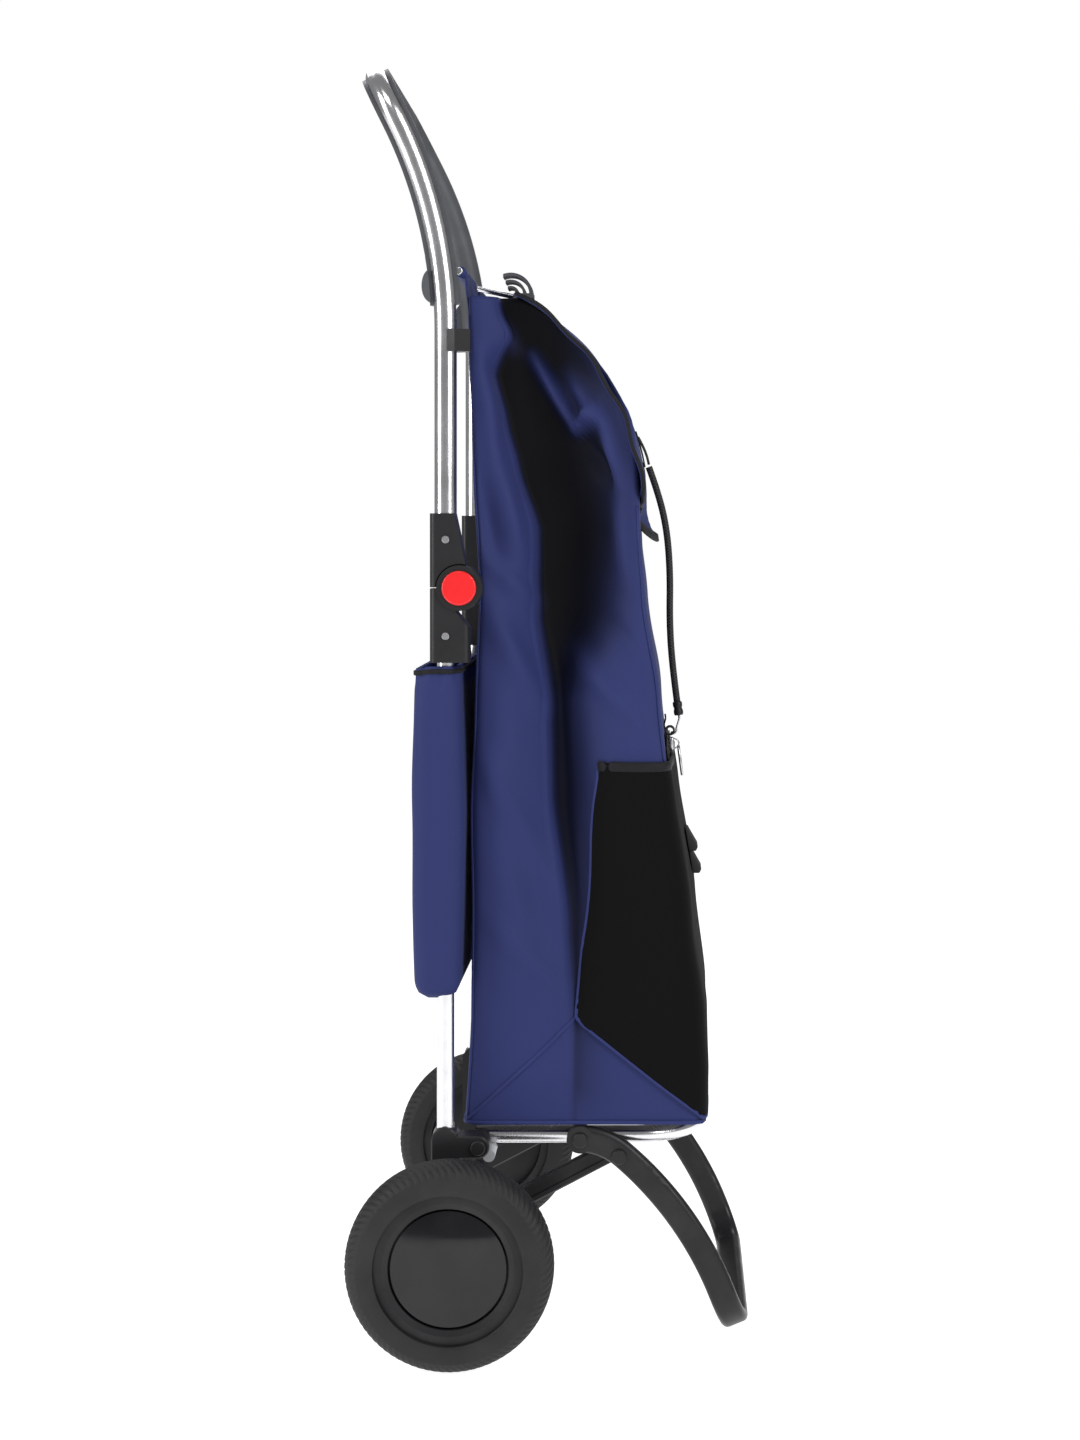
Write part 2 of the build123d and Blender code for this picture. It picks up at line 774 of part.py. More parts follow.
with BuildPart() as bagShell:
    for row in bagRows:
        add(bagSection(row, 0))
    loft(ruled=True)
with BuildPart() as bagRoom:
    lowest = (bagBottom + bagWall, *bagRows[0][1:])
    highest = (bagTop - bagWall, *bagRows[-1][1:])
    for row in [lowest, *bagRows[1:-1], highest]:
        add(bagSection(row, bagWall))
    loft(ruled=True)
with BuildPart() as bagOpening:
    with BuildSketch(sidePlane(0)):
        start, mid, end = lidArc(-lidThickness - 1)
        with BuildLine():
            ThreePointArc(start, mid, end)
            Polyline(end, (end[0] + 60, end[1]), (end[0] + 60, bagTop + 60), (start[0], bagTop + 60), start)
        make_face()
    extrude(amount=bagHalf * 2, both=True)
with BuildPart() as bag:
    add(bagShell.part)
    add(bagRoom.part, mode=Mode.SUBTRACT)
    add(bagOpening.part, mode=Mode.SUBTRACT)
save(bag, "bag_shell")

rodX = axleX + rodForward
rodEnd = tubeY - upperTubeRadius - gripThickness - 1
with BuildPart() as rod:
    add(crossPin(rodX, rodHeight, -rodEnd, rodEnd, rodRadius))
    fillet(rod.edges().filter_by(GeomType.CIRCLE), radius=1)
save(rod, "bag_rod")

with BuildPart() as rodHem:
    hemWall = 1.5
    hookRoom = 22.0
    with BuildSketch(sidePlane(0)):
        with Locations((rodX, rodHeight)):
            Circle(rodRadius + slipGap + hemWall)
            Circle(rodRadius + slipGap, mode=Mode.SUBTRACT)
        with Locations((rodX + rodRadius + slipGap + hemWall / 2, (rodHeight + bagTop - 14) / 2)):
            Rectangle(hemWall, rodHeight - bagTop + 14)
        with Locations((rodX, rodHeight)):
            Circle(rodRadius + slipGap, mode=Mode.SUBTRACT)
    extrude(amount=bagHalf - 8, both=True)
    with Locations((rodX, 0, rodHeight)):
        Box(2 * hookRoom, hookRoom, 16, mode=Mode.SUBTRACT)
save(rodHem, "rod_hem")

# mesh pocket over the bag's lower front, standing off it
pocketHeights = (bagBottom + 12, 263, pocketTop)


def pocketOutline(near, far, bottomLift=0.0, topLift=0.0):
    """The pocket's side outline between two distances from the bag's front."""
    lifts = (bottomLift, 0.0, topLift)
    front = [(axleX + bagFront(z) + far, z + lift) for z, lift in zip(pocketHeights, lifts)]
    back = [(axleX + bagFront(z) + near, z + lift) for z, lift in zip(pocketHeights, lifts)]
    return [*front, *reversed(back)]


with BuildPart() as meshPocket:
    with BuildSketch(sidePlane(0)):
        Polygon(*pocketOutline(slipGap, pocketGap + pocketWall), align=None)
    extrude(amount=bagHalf - 6, both=True)
    with BuildSketch(sidePlane(0)):
        Polygon(*pocketOutline(-1, pocketGap, pocketWall, 2), align=None)
    extrude(amount=bagHalf - 6 - pocketWall, both=True, mode=Mode.SUBTRACT)
save(meshPocket, "mesh_pocket")

zipHeight = 12.0
zipBottom = pocketTop + 1
zipX = axleX + bagFront(zipBottom + zipHeight / 2)
zipLean = atan2(bagFront(zipBottom) - bagFront(zipBottom + zipHeight), zipHeight)


zipPlane = Plane(
    origin=(zipX, 0, zipBottom + zipHeight / 2), x_dir=(0, 1, 0), z_dir=(cos(zipLean), 0, sin(zipLean))
)
tapeHalf = bagHalf - 14
with BuildPart() as zipTape:
    with BuildSketch(zipPlane.offset(0.5)):
        Rectangle(2 * tapeHalf, zipHeight)
    extrude(amount=1.5)
save(zipTape, "zip_tape")

sliderHalf = 4.5
sliderLength = 11.0
sliderRounding = 1.2
loopThickness = 3.2
loopLength = 6.0
sliderRise = 4.4
loopForward = 9.9
with BuildPart() as zipSlider:
    with BuildSketch(zipPlane.offset(2.1)):
        Rectangle(2 * sliderHalf, sliderLength)
    extrude(amount=sliderRise)
    fillet(zipSlider.edges().filter_by(Axis.Y), radius=sliderRounding)
    with BuildSketch(zipPlane.offset(2.1 + sliderRise - 1)):
        with Locations((0, -1)):
            Rectangle(loopThickness, loopLength)
    extrude(amount=6.2)
    add(crossPin(zipX + loopForward, zipBottom + zipHeight / 2 - 1.6, -5, 5, 1.5), mode=Mode.SUBTRACT)
save(zipSlider, "zip_slider")

ringLength = 28.0
ringWidth = 13.0
ringRim = 2.0
ringHalf = 0.9
ringLean = degrees(atan2(bagFront(430) - bagFront(450), 20))
with BuildPart() as zipRing:
    ringTop = zipBottom + zipHeight / 2 - 1.6
    ringOrigin = (zipX + loopForward, 0, ringTop)
    ringPlane = Plane(origin=ringOrigin, x_dir=(0, 1, 0), z_dir=(1, 0, tan(radians(ringLean))))
    with BuildSketch(ringPlane):
        with Locations((0, 1 - ringLength / 2)):
            SlotOverall(ringLength, ringWidth, rotation=90)
            SlotOverall(ringLength - 2 * ringRim, ringWidth - 2 * ringRim, rotation=90, mode=Mode.SUBTRACT)
    extrude(amount=ringHalf, both=True)
save(zipRing, "zip_ring")

anchorZ = zipBottom + zipHeight + 6
anchorX = axleX + bagFront(anchorZ)
anchorForward = 5.0
anchorRadius = 4.4
anchorRim = 2.0
anchorHalf = 4.0
with BuildPart() as strapAnchor:
    with BuildSketch(sidePlane(0)):
        with Locations((anchorX + anchorForward, anchorZ)):
            Circle(anchorRadius)
            Circle(anchorRadius - anchorRim, mode=Mode.SUBTRACT)
        with Locations((anchorX + 2.2, anchorZ)):
            Rectangle(2.4, 10)
        with Locations((anchorX + anchorForward, anchorZ)):
            Circle(anchorRadius - anchorRim, mode=Mode.SUBTRACT)
    extrude(amount=anchorHalf, both=True)
save(strapAnchor, "strap_anchor")

wedgeTops = (403.0, 383.5)
wedgeHeight = 19.0
wedgeHalf = 16.0
with BuildPart() as wedges:
    for top in wedgeTops:
        lift = axleX + pocketGap + pocketWall + 0.2
        lip, foot = top - wedgeHeight + 3, top - wedgeHeight
        with BuildSketch(sidePlane(0)):
            Polygon(
                (bagFront(top) + lift, top),
                (bagFront(top) + lift + 1, top),
                (bagFront(lip) + lift + 8.5, lip),
                (bagFront(foot) + lift, foot),
                align=None,
            )
        extrude(amount=wedgeHalf, both=True)
save(wedges, "wedge_tabs")

# pocket behind the frame tubes
sleeveCorner = 12.0
elasticHeight = 3.5
with BuildPart() as rearPocket:
    outerWall = sleeveRear + sleeveFront
    midX = axleX + (sleeveFront - sleeveRear) / 2
    outerHalf = tubeY + lowerTubeRadius + softGap + bagWall + 2
    with BuildSketch(Plane.XY.offset(sleeveBottom)):
        with Locations((midX, 0)):
            RectangleRounded(outerWall, 2 * outerHalf, sleeveCorner)
    extrude(amount=sleeveTop - sleeveBottom)
    with BuildSketch(Plane.XY.offset(sleeveBottom + bagWall)):
        with Locations((midX, 0)):
            RectangleRounded(outerWall - 2 * bagWall, 2 * (outerHalf - bagWall), sleeveCorner - bagWall)
    extrude(amount=sleeveTop, mode=Mode.SUBTRACT)
    with BuildSketch(Plane.XY.offset(sleeveBottom - 1)):
        for side in sides.values():
            with Locations((tubeX, side * tubeY)):
                Circle(lowerTubeRadius + softGap)
    extrude(amount=bagWall + 2, mode=Mode.SUBTRACT)
save(rearPocket, "rear_pocket")

with BuildPart() as pocketElastic:
    with BuildSketch(Plane.XY.offset(sleeveTop + slipGap)):
        with Locations((midX, 0)):
            RectangleRounded(outerWall + 1, 2 * outerHalf + 1, sleeveCorner)
            innerLength, innerWidth = outerWall - 2 * bagWall - 1, 2 * (outerHalf - bagWall) - 1
            RectangleRounded(innerLength, innerWidth, sleeveCorner - bagWall, mode=Mode.SUBTRACT)
    extrude(amount=elasticHeight)
save(pocketElastic, "pocket_elastic")

# lid
with BuildPart() as lid:
    lidHalf = bagHalf - 2
    with BuildSketch(sidePlane(0)):
        a0, a1, a2 = lidArc(lidThickness)
        b0, b1, b2 = lidArc(0)
        with BuildLine():
            ThreePointArc(a0, a1, a2)
            Line(a2, b2)
            ThreePointArc(b2, b1, b0)
            Line(b0, a0)
        make_face()
    extrude(amount=lidHalf, both=True)
    hingeZ = lidRear[1] + lidThickness
    add(crossPin(lidRear[0], hingeZ, -lidHalf, lidHalf, hemRadius))
    tongueX = lidFront[0] + 1.2
    with BuildSketch(sidePlane(0)):
        Polygon(
            (tongueX - 1.4, rimFront + 2),
            (tongueX + 1.4, rimFront + 2),
            (tongueX + 8, rimFront - tongueDrop),
            (tongueX + 5.5, rimFront - tongueDrop),
            align=None,
        )
    extrude(amount=tongueHalf, both=True)
save(lid, "lid_flap")

with BuildPart() as lidBinding:
    bindWidth = 7.0
    for side in sides.values():
        with BuildSketch(sidePlane(side * (lidHalf - bindWidth / 2))):
            a0, a1, a2 = lidArc(lidThickness + 1.5)
            b0, b1, b2 = lidArc(lidThickness)
            with BuildLine():
                ThreePointArc(a0, a1, a2)
                Line(a2, b2)
                ThreePointArc(b2, b1, b0)
                Line(b0, a0)
            make_face()
        extrude(amount=bindWidth / 2, both=True)
    add(crossPin(lidRear[0], hingeZ, -lidHalf - 1, lidHalf + 1, hemRadius + slipGap), mode=Mode.SUBTRACT)
save(lidBinding, "lid_binding")

tabTop = 738.0
tabBottom = 716.0
tabRise = 7.0
tabHalf = 8.0
with BuildPart() as lidTab:
    with BuildSketch(sidePlane(0)):
        a0, a1, a2 = lidArc(lidThickness + tabRise)
        b0, b1, b2 = lidArc(lidThickness + slipGap)
        with BuildLine():
            ThreePointArc(a0, a1, a2)
            Line(a2, b2)
            ThreePointArc(b2, b1, b0)
            Line(b0, a0)
        make_face()
        with Locations((lidFront[0], (tabTop + tabBottom) / 2)):
            Rectangle(80, tabTop - tabBottom, mode=Mode.INTERSECT)
    extrude(amount=tabHalf, both=True)
save(lidTab, "lid_tab")

# strap from the lid's tab to the pocket's anchor
strapRadius = 3.2
strapRoute = [
    (axleX + 155.4, 0.0, tabBottom),
    (axleX + 164.5, 1.5, 691.0),
    (axleX + 171.5, 0.5, 659.0),
    (axleX + 174.0, -2.0, 622.0),
    (axleX + 173.4, -1.0, 583.0),
    (axleX + 175.6, 1.5, 545.0),
    (axleX + 180.0, 0.5, 512.0),
]


def cordBends(points):
    """The radius of each bend: 0.45 of its shorter run, over the tangent of half its turn."""
    bends = []
    for a, b, c in zip(points, points[1:], points[2:]):
        first, second = Vector(b) - Vector(a), Vector(c) - Vector(b)
        angle = radians(first.get_angle(second))
        bends.append(0.45 * min(first.length, second.length) / tan(angle / 2))
    return bends


strapBends = cordBends(strapRoute)
print("strap bend radii", [round(r) for r in strapBends])


def cordPath(points, bends):
    """Straight runs joined by arcs that touch both runs."""
    edges, last = [], Vector(points[0])
    for a, b, c, bend in zip(points, points[1:], points[2:], bends):
        corner = Vector(b)
        before, after = (Vector(a) - corner).normalized(), (Vector(c) - corner).normalized()
        angle = radians(180 - before.get_angle(after))
        reach = bend * tan(angle / 2)
        start, end = corner + before * reach, corner + after * reach
        inward = (before + after).normalized()
        middle = corner + inward * (bend / cos(angle / 2) - bend)
        edges += [Line(last, start), ThreePointArc(start, middle, end)]
        last = end
    return Wire([*edges, Line(last, Vector(points[-1]))])


strapPath = cordPath(strapRoute, strapBends)
with BuildPart() as strap:
    first = Vector(strapRoute[1]) - Vector(strapRoute[0])
    with BuildSketch(Plane(origin=strapRoute[0], z_dir=first)):
        Circle(strapRadius)
    sweep(path=strapPath)
strapLength = strapPath.length
print("strap length", round(strapLength))
save(strap, "strap")

strapEnd = Vector(strapRoute[-1])
strapHookLength = 12.0
strapWay = (strapEnd - Vector(strapRoute[-2])).normalized()
with BuildPart() as strapHook:
    with BuildSketch(Plane(origin=strapEnd, z_dir=strapWay)):
        Circle(strapRadius + 1)
    extrude(amount=strapHookLength)
    fillet(strapHook.edges().filter_by(GeomType.CIRCLE), radius=0.8)
save(strapHook, "strap_hook")

# hook for hanging on a supermarket trolley
hookX = axleX + 38.0
hookZ = rodHeight - 8.0
hookHalf = 7.0
legWire = 1.6
eyeWall = 2.2
with BuildPart() as hookLegs:
    for side in sides.values():
        y = side * hookHalf
        legDirection = (hookX - rodX, 0, hookZ - rodHeight)
        legLength = hypot(legDirection[0], legDirection[2])
        with BuildSketch(Plane(origin=(rodX, y, rodHeight), z_dir=legDirection)):
            Circle(legWire)
        extrude(amount=legLength)
        add(crossPin(rodX, rodHeight, y - eyeWall, y + eyeWall, rodRadius + eyeWall))
    add(crossPin(rodX, rodHeight, -hookRoom, hookRoom, rodRadius + runGap), mode=Mode.SUBTRACT)
save(hookLegs, "hook_legs")

with BuildPart() as hookComb:
    combBase = (hookX - 2, hookZ + 1)
    for reach, thickness in ((19.0, 3.0), (13.0, 2.4), (7.5, 2.2)):
        with BuildSketch(sidePlane(0)):
            with Locations(combBase):
                Circle(reach)
                Circle(reach - thickness, mode=Mode.SUBTRACT)
            with Locations((combBase[0], combBase[1] - 30)):
                Rectangle(80, 60, mode=Mode.SUBTRACT)
            with Locations((combBase[0] - 30 - reach * 0.35, combBase[1] + 8)):
                Rectangle(60, 60, mode=Mode.SUBTRACT)
        extrude(amount=hookHalf + 3, both=True)
    with BuildSketch(sidePlane(0)):
        with Locations((combBase[0] + 11, combBase[1] - 0.8)):
            Rectangle(17, 4)
    extrude(amount=hookHalf + 3, both=True)
    add(hookLegs.part, mode=Mode.SUBTRACT)
save(hookComb, "hook_comb")

print("frame: axle", round(axleX, 2), "foot bar height", round(footZ, 2), "reach", round(footReach, 2))
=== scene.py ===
import json
import math

import bmesh
import bpy
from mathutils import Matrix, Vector, noise


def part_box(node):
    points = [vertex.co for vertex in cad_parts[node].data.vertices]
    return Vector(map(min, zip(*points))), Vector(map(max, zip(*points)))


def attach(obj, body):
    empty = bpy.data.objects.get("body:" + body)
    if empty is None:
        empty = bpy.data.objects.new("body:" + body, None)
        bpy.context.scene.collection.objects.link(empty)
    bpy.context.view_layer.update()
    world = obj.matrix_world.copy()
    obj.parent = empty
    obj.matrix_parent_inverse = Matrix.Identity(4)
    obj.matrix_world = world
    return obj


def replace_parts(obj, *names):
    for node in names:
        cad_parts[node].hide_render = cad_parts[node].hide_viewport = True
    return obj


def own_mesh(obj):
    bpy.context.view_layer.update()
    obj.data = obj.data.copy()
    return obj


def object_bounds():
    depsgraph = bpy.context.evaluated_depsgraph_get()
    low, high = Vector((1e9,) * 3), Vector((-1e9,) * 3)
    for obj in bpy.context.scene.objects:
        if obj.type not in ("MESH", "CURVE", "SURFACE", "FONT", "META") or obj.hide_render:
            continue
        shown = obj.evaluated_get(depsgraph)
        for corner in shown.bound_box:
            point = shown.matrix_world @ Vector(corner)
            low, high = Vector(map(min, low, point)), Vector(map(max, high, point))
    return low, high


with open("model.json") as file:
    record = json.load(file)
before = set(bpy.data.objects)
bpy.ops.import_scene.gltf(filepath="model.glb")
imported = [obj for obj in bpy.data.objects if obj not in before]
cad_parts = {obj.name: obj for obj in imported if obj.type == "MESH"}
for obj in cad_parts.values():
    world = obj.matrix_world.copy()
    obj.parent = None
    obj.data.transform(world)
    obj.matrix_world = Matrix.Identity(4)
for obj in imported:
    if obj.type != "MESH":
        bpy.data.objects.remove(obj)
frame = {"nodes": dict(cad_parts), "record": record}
cadLow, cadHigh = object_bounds()
print("frame loaded")

axleLow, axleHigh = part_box("axle")
axleX = (axleLow.x + axleHigh.x) / 2

# camera and light
viewing = {"place": (0.0934, -1.947, 0.66), "lens": 55.95, "shiftX": -0.088, "shiftY": -0.131}
studio = {
    "white": (1.0, 1.0, 1.0),
    "ambient": 0.24,
    "lamps": (
        # place, aims at, size across and up, watts
        ((1.7, -1.5, 1.7), (0.0, 0.0, 0.6), (1.3, 1.9), 42),
        ((-1.9, -1.1, 1.2), (0.0, 0.0, 0.5), (0.8, 1.8), 30),
        ((-0.4, 1.5, 2.3), (0.0, 0.0, 0.7), (2.0, 1.2), 26),
        ((-0.5, -1.6, 2.6), (0.0, 0.0, 0.5), (1.0, 0.8), 10),
    ),
}


def makeCamera(settings):
    data = bpy.data.cameras.new("camera")
    data.lens = settings["lens"]
    data.shift_x = settings["shiftX"]
    data.shift_y = settings["shiftY"]
    camera = bpy.data.objects.new("camera", data)
    bpy.context.scene.collection.objects.link(camera)
    camera.location = settings["place"]
    camera.rotation_euler = (math.pi / 2, 0, 0)
    bpy.context.scene.camera = camera


def makeStudio(settings):
    for number, (place, target, size, watts) in enumerate(settings["lamps"]):
        data = bpy.data.lights.new(f"softbox{number}", "AREA")
        data.shape = "RECTANGLE"
        data.size, data.size_y = size
        data.energy = watts
        lamp = bpy.data.objects.new(f"softbox{number}", data)
        bpy.context.scene.collection.objects.link(lamp)
        lamp.location = place
        lamp.rotation_euler = (Vector(target) - Vector(place)).to_track_quat("-Z", "Y").to_euler()
    world = bpy.data.worlds.new("studio")
    bpy.context.scene.world = world
    world.use_nodes = True
    tree = world.node_tree
    tree.nodes.clear()
    seen = tree.nodes.new("ShaderNodeBackground")
    seen.inputs["Color"].default_value = (*settings["white"], 1)
    seen.inputs["Strength"].default_value = 1.0
    fill = tree.nodes.new("ShaderNodeBackground")
    fill.inputs["Color"].default_value = (*settings["white"], 1)
    fill.inputs["Strength"].default_value = settings["ambient"]
    path = tree.nodes.new("ShaderNodeLightPath")
    mix = tree.nodes.new("ShaderNodeMixShader")
    out = tree.nodes.new("ShaderNodeOutputWorld")
    tree.links.new(path.outputs["Is Camera Ray"], mix.inputs[0])
    tree.links.new(fill.outputs[0], mix.inputs[1])
    tree.links.new(seen.outputs[0], mix.inputs[2])
    tree.links.new(mix.outputs[0], out.inputs[0])
    bpy.context.scene.view_settings.view_transform = "Standard"


makeCamera(viewing)
makeStudio(studio)


# small helpers for meshes
# Turns a bmesh into a piece that rides on a body.
def finishMesh(bm, name, body, material=None, smooth=True):
    mesh = bpy.data.meshes.new(name)
    bm.to_mesh(mesh)
    bm.free()
    if smooth:
        mesh.shade_smooth()
    piece = bpy.data.objects.new(name, mesh)
    bpy.context.scene.collection.objects.link(piece)
    if material:
        mesh.materials.append(material)
    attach(piece, body)
    return piece


def solidify(piece, thickness, offset=-1.0):
    wall = piece.modifiers.new("wall", "SOLIDIFY")
    wall.thickness = thickness
    wall.offset = offset
    return piece


# strap: the lid's cord, first because its room is checked
strapSet = {
    "radius": 0.0032,
    "length": 0.207,
    "route": (
        # ahead of the axle, across, height
        (0.1554, 0.0, 0.716),
        (0.1645, 0.0015, 0.691),
        (0.1715, 0.0005, 0.659),
        (0.1740, -0.002, 0.622),
        (0.1734, -0.001, 0.583),
        (0.1756, 0.0015, 0.545),
        (0.1800, 0.0005, 0.512),
    ),
    "rib": 0.0011,
}


# The smooth line that a cord's route points control.
def splineLine(points):
    data = bpy.data.curves.new("route", "CURVE")
    data.dimensions = "3D"
    data.resolution_u = 24
    spline = data.splines.new("NURBS")
    spline.points.add(len(points) - 1)
    for point, place in zip(spline.points, points):
        point.co = (*place, 1)
    spline.order_u = 3
    spline.use_endpoint_u = True
    holder = bpy.data.objects.new("route", data)
    bpy.context.scene.collection.objects.link(holder)
    line = bpy.data.meshes.new_from_object(holder)
    path = [v.co.copy() for v in line.vertices]
    bpy.data.objects.remove(holder)
    return path


# A bmesh of a section extruded along a path. The section's points are (across, outward) pairs, and the UV map
# runs round the section and along the path, in metres.
def sweep(path, section, up=Vector((0, 1, 0)), close=False, caps=True):
    bm = bmesh.new()
    uvLayer = bm.loops.layers.uv.new("UVMap")
    ring = [bm.verts.new((0, 0, 0)) for _ in section]
    edges = [bm.edges.new((ring[i], ring[(i + 1) % len(ring)])) for i in range(len(ring))]
    rounds = [0.0]
    for a, b in zip(section, [*section[1:], section[0]]):
        rounds.append(rounds[-1] + math.hypot(b[0] - a[0], b[1] - a[1]))

    def place(verts, number):
        before = path[max(number - 1, 0)]
        after = path[min(number + 1, len(path) - 1)]
        along = (after - before).normalized()
        side = up[number] if isinstance(up, list) else up
        out = along.cross(side).normalized()
        across = out.cross(along).normalized()
        for vert, (a, o) in zip(verts, section):
            vert.co = path[number] + across * a + out * o

    place(ring, 0)
    first = list(ring)
    travelled = 0.0
    for number in range(1, len(path)):
        grown = bmesh.ops.extrude_edge_only(bm, edges=edges)
        made = [g for g in grown["geom"] if isinstance(g, bmesh.types.BMVert)]
        paired = {}
        for edge in [g for g in grown["geom"] if isinstance(g, bmesh.types.BMEdge)]:
            for a, b in ((edge.verts[0], edge.verts[1]), (edge.verts[1], edge.verts[0])):
                if a in ring and b in made:
                    paired[a] = b
        if len(paired) < len(ring):
            for edge in bm.edges:
                for a, b in ((edge.verts[0], edge.verts[1]), (edge.verts[1], edge.verts[0])):
                    if a in ring and b in made:
                        paired[a] = b
        newRing = [paired[v] for v in ring]
        place(newRing, number)
        length = (path[number] - path[number - 1]).length
        for face in [g for g in grown["geom"] if isinstance(g, bmesh.types.BMFace)]:
            for loop in face.loops:
                old = loop.vert in ring
                index = (ring if old else newRing).index(loop.vert)
                others = [(ring if v in ring else newRing).index(v) for v in (x.vert for x in face.loops)]
                wrap = len(ring) - 1 in others and 0 in others and index == 0
                loop[uvLayer].uv = (rounds[-1] if wrap else rounds[index], travelled + (0 if old else length))
        travelled += length
        ring = newRing
        edges = [e for e in bm.edges if e.verts[0] in ring and e.verts[1] in ring]
    if caps:
        bm.faces.new(list(reversed(first)))
        bm.faces.new(ring)
    bmesh.ops.recalc_face_normals(bm, faces=bm.faces[:])
    return bm


# A flat strip's section, its edges thinned beyond a share of its half width.
def flatSection(half, thick, share):
    flat = half * share
    return [(half, 0), (flat, thick), (-flat, thick), (-half, 0), (-flat, -thick), (flat, -thick)]


def roundSection(radiusAcross, radiusOut, count=12):
    turn = 2 * math.pi / count
    return [(radiusAcross * math.cos(i * turn), radiusOut * math.sin(i * turn)) for i in range(count)]


strapPoints = [(axleX + x, y, z) for x, y, z in strapSet["route"]]
strapLine = splineLine(strapPoints)


# patterns shared by several materials
def newGroup(name, inputs, outputs):
    group = bpy.data.node_groups.new(name, "ShaderNodeTree")
    for label, kind, value in inputs:
        socket = group.interface.new_socket(label, in_out="INPUT", socket_type=kind)
        if value is not None:
            socket.default_value = value
    for label, kind in outputs:
        group.interface.new_socket(label, in_out="OUTPUT", socket_type=kind)
    return group, group.nodes.new("NodeGroupInput"), group.nodes.new("NodeGroupOutput")


# One Math node. a and b are sockets or numbers.
def calc(tree, operation, a, b=None, clamp=False):
    node = tree.nodes.new("ShaderNodeMath")
    node.operation = operation
    node.use_clamp = clamp
    for place, value in enumerate((a, b)):
        if value is None:
            continue
        if isinstance(value, (int, float)):
            node.inputs[place].default_value = value
        else:
            tree.links.new(value, node.inputs[place])
    return node.outputs[0]


def splitVector(tree, vector):
    node = tree.nodes.new("ShaderNodeSeparateXYZ")
    tree.links.new(vector, node.inputs[0])
    return node.outputs


def noiseOf(tree, vector, scale, detail=3.0, roughness=0.55):
    node = tree.nodes.new("ShaderNodeTexNoise")
    node.inputs["Detail"].default_value = detail
    node.inputs["Roughness"].default_value = roughness
    tree.links.new(vector, node.inputs["Vector"])
    if isinstance(scale, (int, float)):
        node.inputs["Scale"].default_value = scale
    else:
        tree.links.new(scale, node.inputs["Scale"])
    return node.outputs["Fac"]


def remap(tree, value, low, high, toLow, toHigh):
    node = tree.nodes.new("ShaderNodeMapRange")
    tree.links.new(value, node.inputs["Value"])
    for label, number in zip(("From Min", "From Max", "To Min", "To Max"), (low, high, toLow, toHigh)):
        node.inputs[label].default_value = number
    return node.outputs["Result"]


# A plain weave: warp and weft threads that go over and under each other, with uneven yarn. Its Tone is partly
# painted shade, darker in the hollows between threads, and partly the uneven yarn.
def makeWeaveGroup():
    group, given, made = newGroup(
        "plainWeave",
        (("Vector", "NodeSocketVector", None), ("Pitch", "NodeSocketFloat", 0.0009)),
        (("Height", "NodeSocketFloat"), ("Tone", "NodeSocketFloat")),
    )
    x, y, _ = splitVector(group, given.outputs["Vector"])
    turn = calc(group, "DIVIDE", math.pi, given.outputs["Pitch"])
    warp = calc(group, "SINE", calc(group, "MULTIPLY", x, turn))
    weft = calc(group, "SINE", calc(group, "MULTIPLY", y, turn))
    over = calc(group, "MULTIPLY", warp, weft)
    threads = calc(group, "ADD", calc(group, "ABSOLUTE", warp), calc(group, "ABSOLUTE", weft))
    height = calc(group, "ADD", calc(group, "MULTIPLY", over, 0.35), calc(group, "MULTIPLY", threads, 0.3))
    slub = noiseOf(group, given.outputs["Vector"], 260.0, 2.0)
    # tone: painted shade in the hollows between threads, mixed with the uneven yarn
    tone = calc(group, "ADD", calc(group, "MULTIPLY", height, 0.5), calc(group, "MULTIPLY", slub, 0.5))
    group.links.new(calc(group, "ADD", height, calc(group, "MULTIPLY", slub, 0.3)), made.inputs["Height"])
    group.links.new(tone, made.inputs["Tone"])
    return group


# A knitted net: staggered round holes with raised yarn between them.
def makeNetGroup():
    group, given, made = newGroup(
        "knitNet",
        (("Vector", "NodeSocketVector", None), ("Pitch", "NodeSocketFloat", 0.0036)),
        (("Height", "NodeSocketFloat"), ("Hole", "NodeSocketFloat")),
    )
    x, y, _ = splitVector(group, given.outputs["Vector"])
    across = calc(group, "DIVIDE", x, given.outputs["Pitch"])
    upward = calc(group, "DIVIDE", calc(group, "DIVIDE", y, given.outputs["Pitch"]), 1.732)
    distances = []
    for shift in (0.0, 0.5):
        dx = calc(group, "SUBTRACT", calc(group, "FRACT", calc(group, "ADD", across, shift)), 0.5)
        dy = calc(group, "SUBTRACT", calc(group, "FRACT", calc(group, "ADD", upward, shift)), 0.5)
        dy = calc(group, "MULTIPLY", dy, 1.732)
        squares = calc(group, "ADD", calc(group, "MULTIPLY", dx, dx), calc(group, "MULTIPLY", dy, dy))
        distances.append(calc(group, "SQRT", squares))
    nearest = calc(group, "MINIMUM", distances[0], distances[1])
    group.links.new(remap(group, nearest, 0.16, 0.42, 0.0, 1.0), made.inputs["Height"])
    group.links.new(remap(group, nearest, 0.24, 0.3, 1.0, 0.0), made.inputs["Hole"])
    return group


# Moulded or cast grain, fine pits over a slow unevenness, and a handling mask for gloss.
def makeGrainGroup():
    group, given, made = newGroup(
        "mouldGrain",
        (("Vector", "NodeSocketVector", None), ("Scale", "NodeSocketFloat", 900.0)),
        (("Height", "NodeSocketFloat"), ("Handled", "NodeSocketFloat")),
    )
    fine = noiseOf(group, given.outputs["Vector"], given.outputs["Scale"], 2.0)
    slow = noiseOf(group, given.outputs["Vector"], 24.0, 4.0, 0.6)
    group.links.new(calc(group, "ADD", fine, calc(group, "MULTIPLY", slow, 0.4)), made.inputs["Height"])
    group.links.new(remap(group, slow, 0.35, 0.68, 0.0, 1.0), made.inputs["Handled"])
    return group


weaveGroup = makeWeaveGroup()
netGroup = makeNetGroup()
grainGroup = makeGrainGroup()


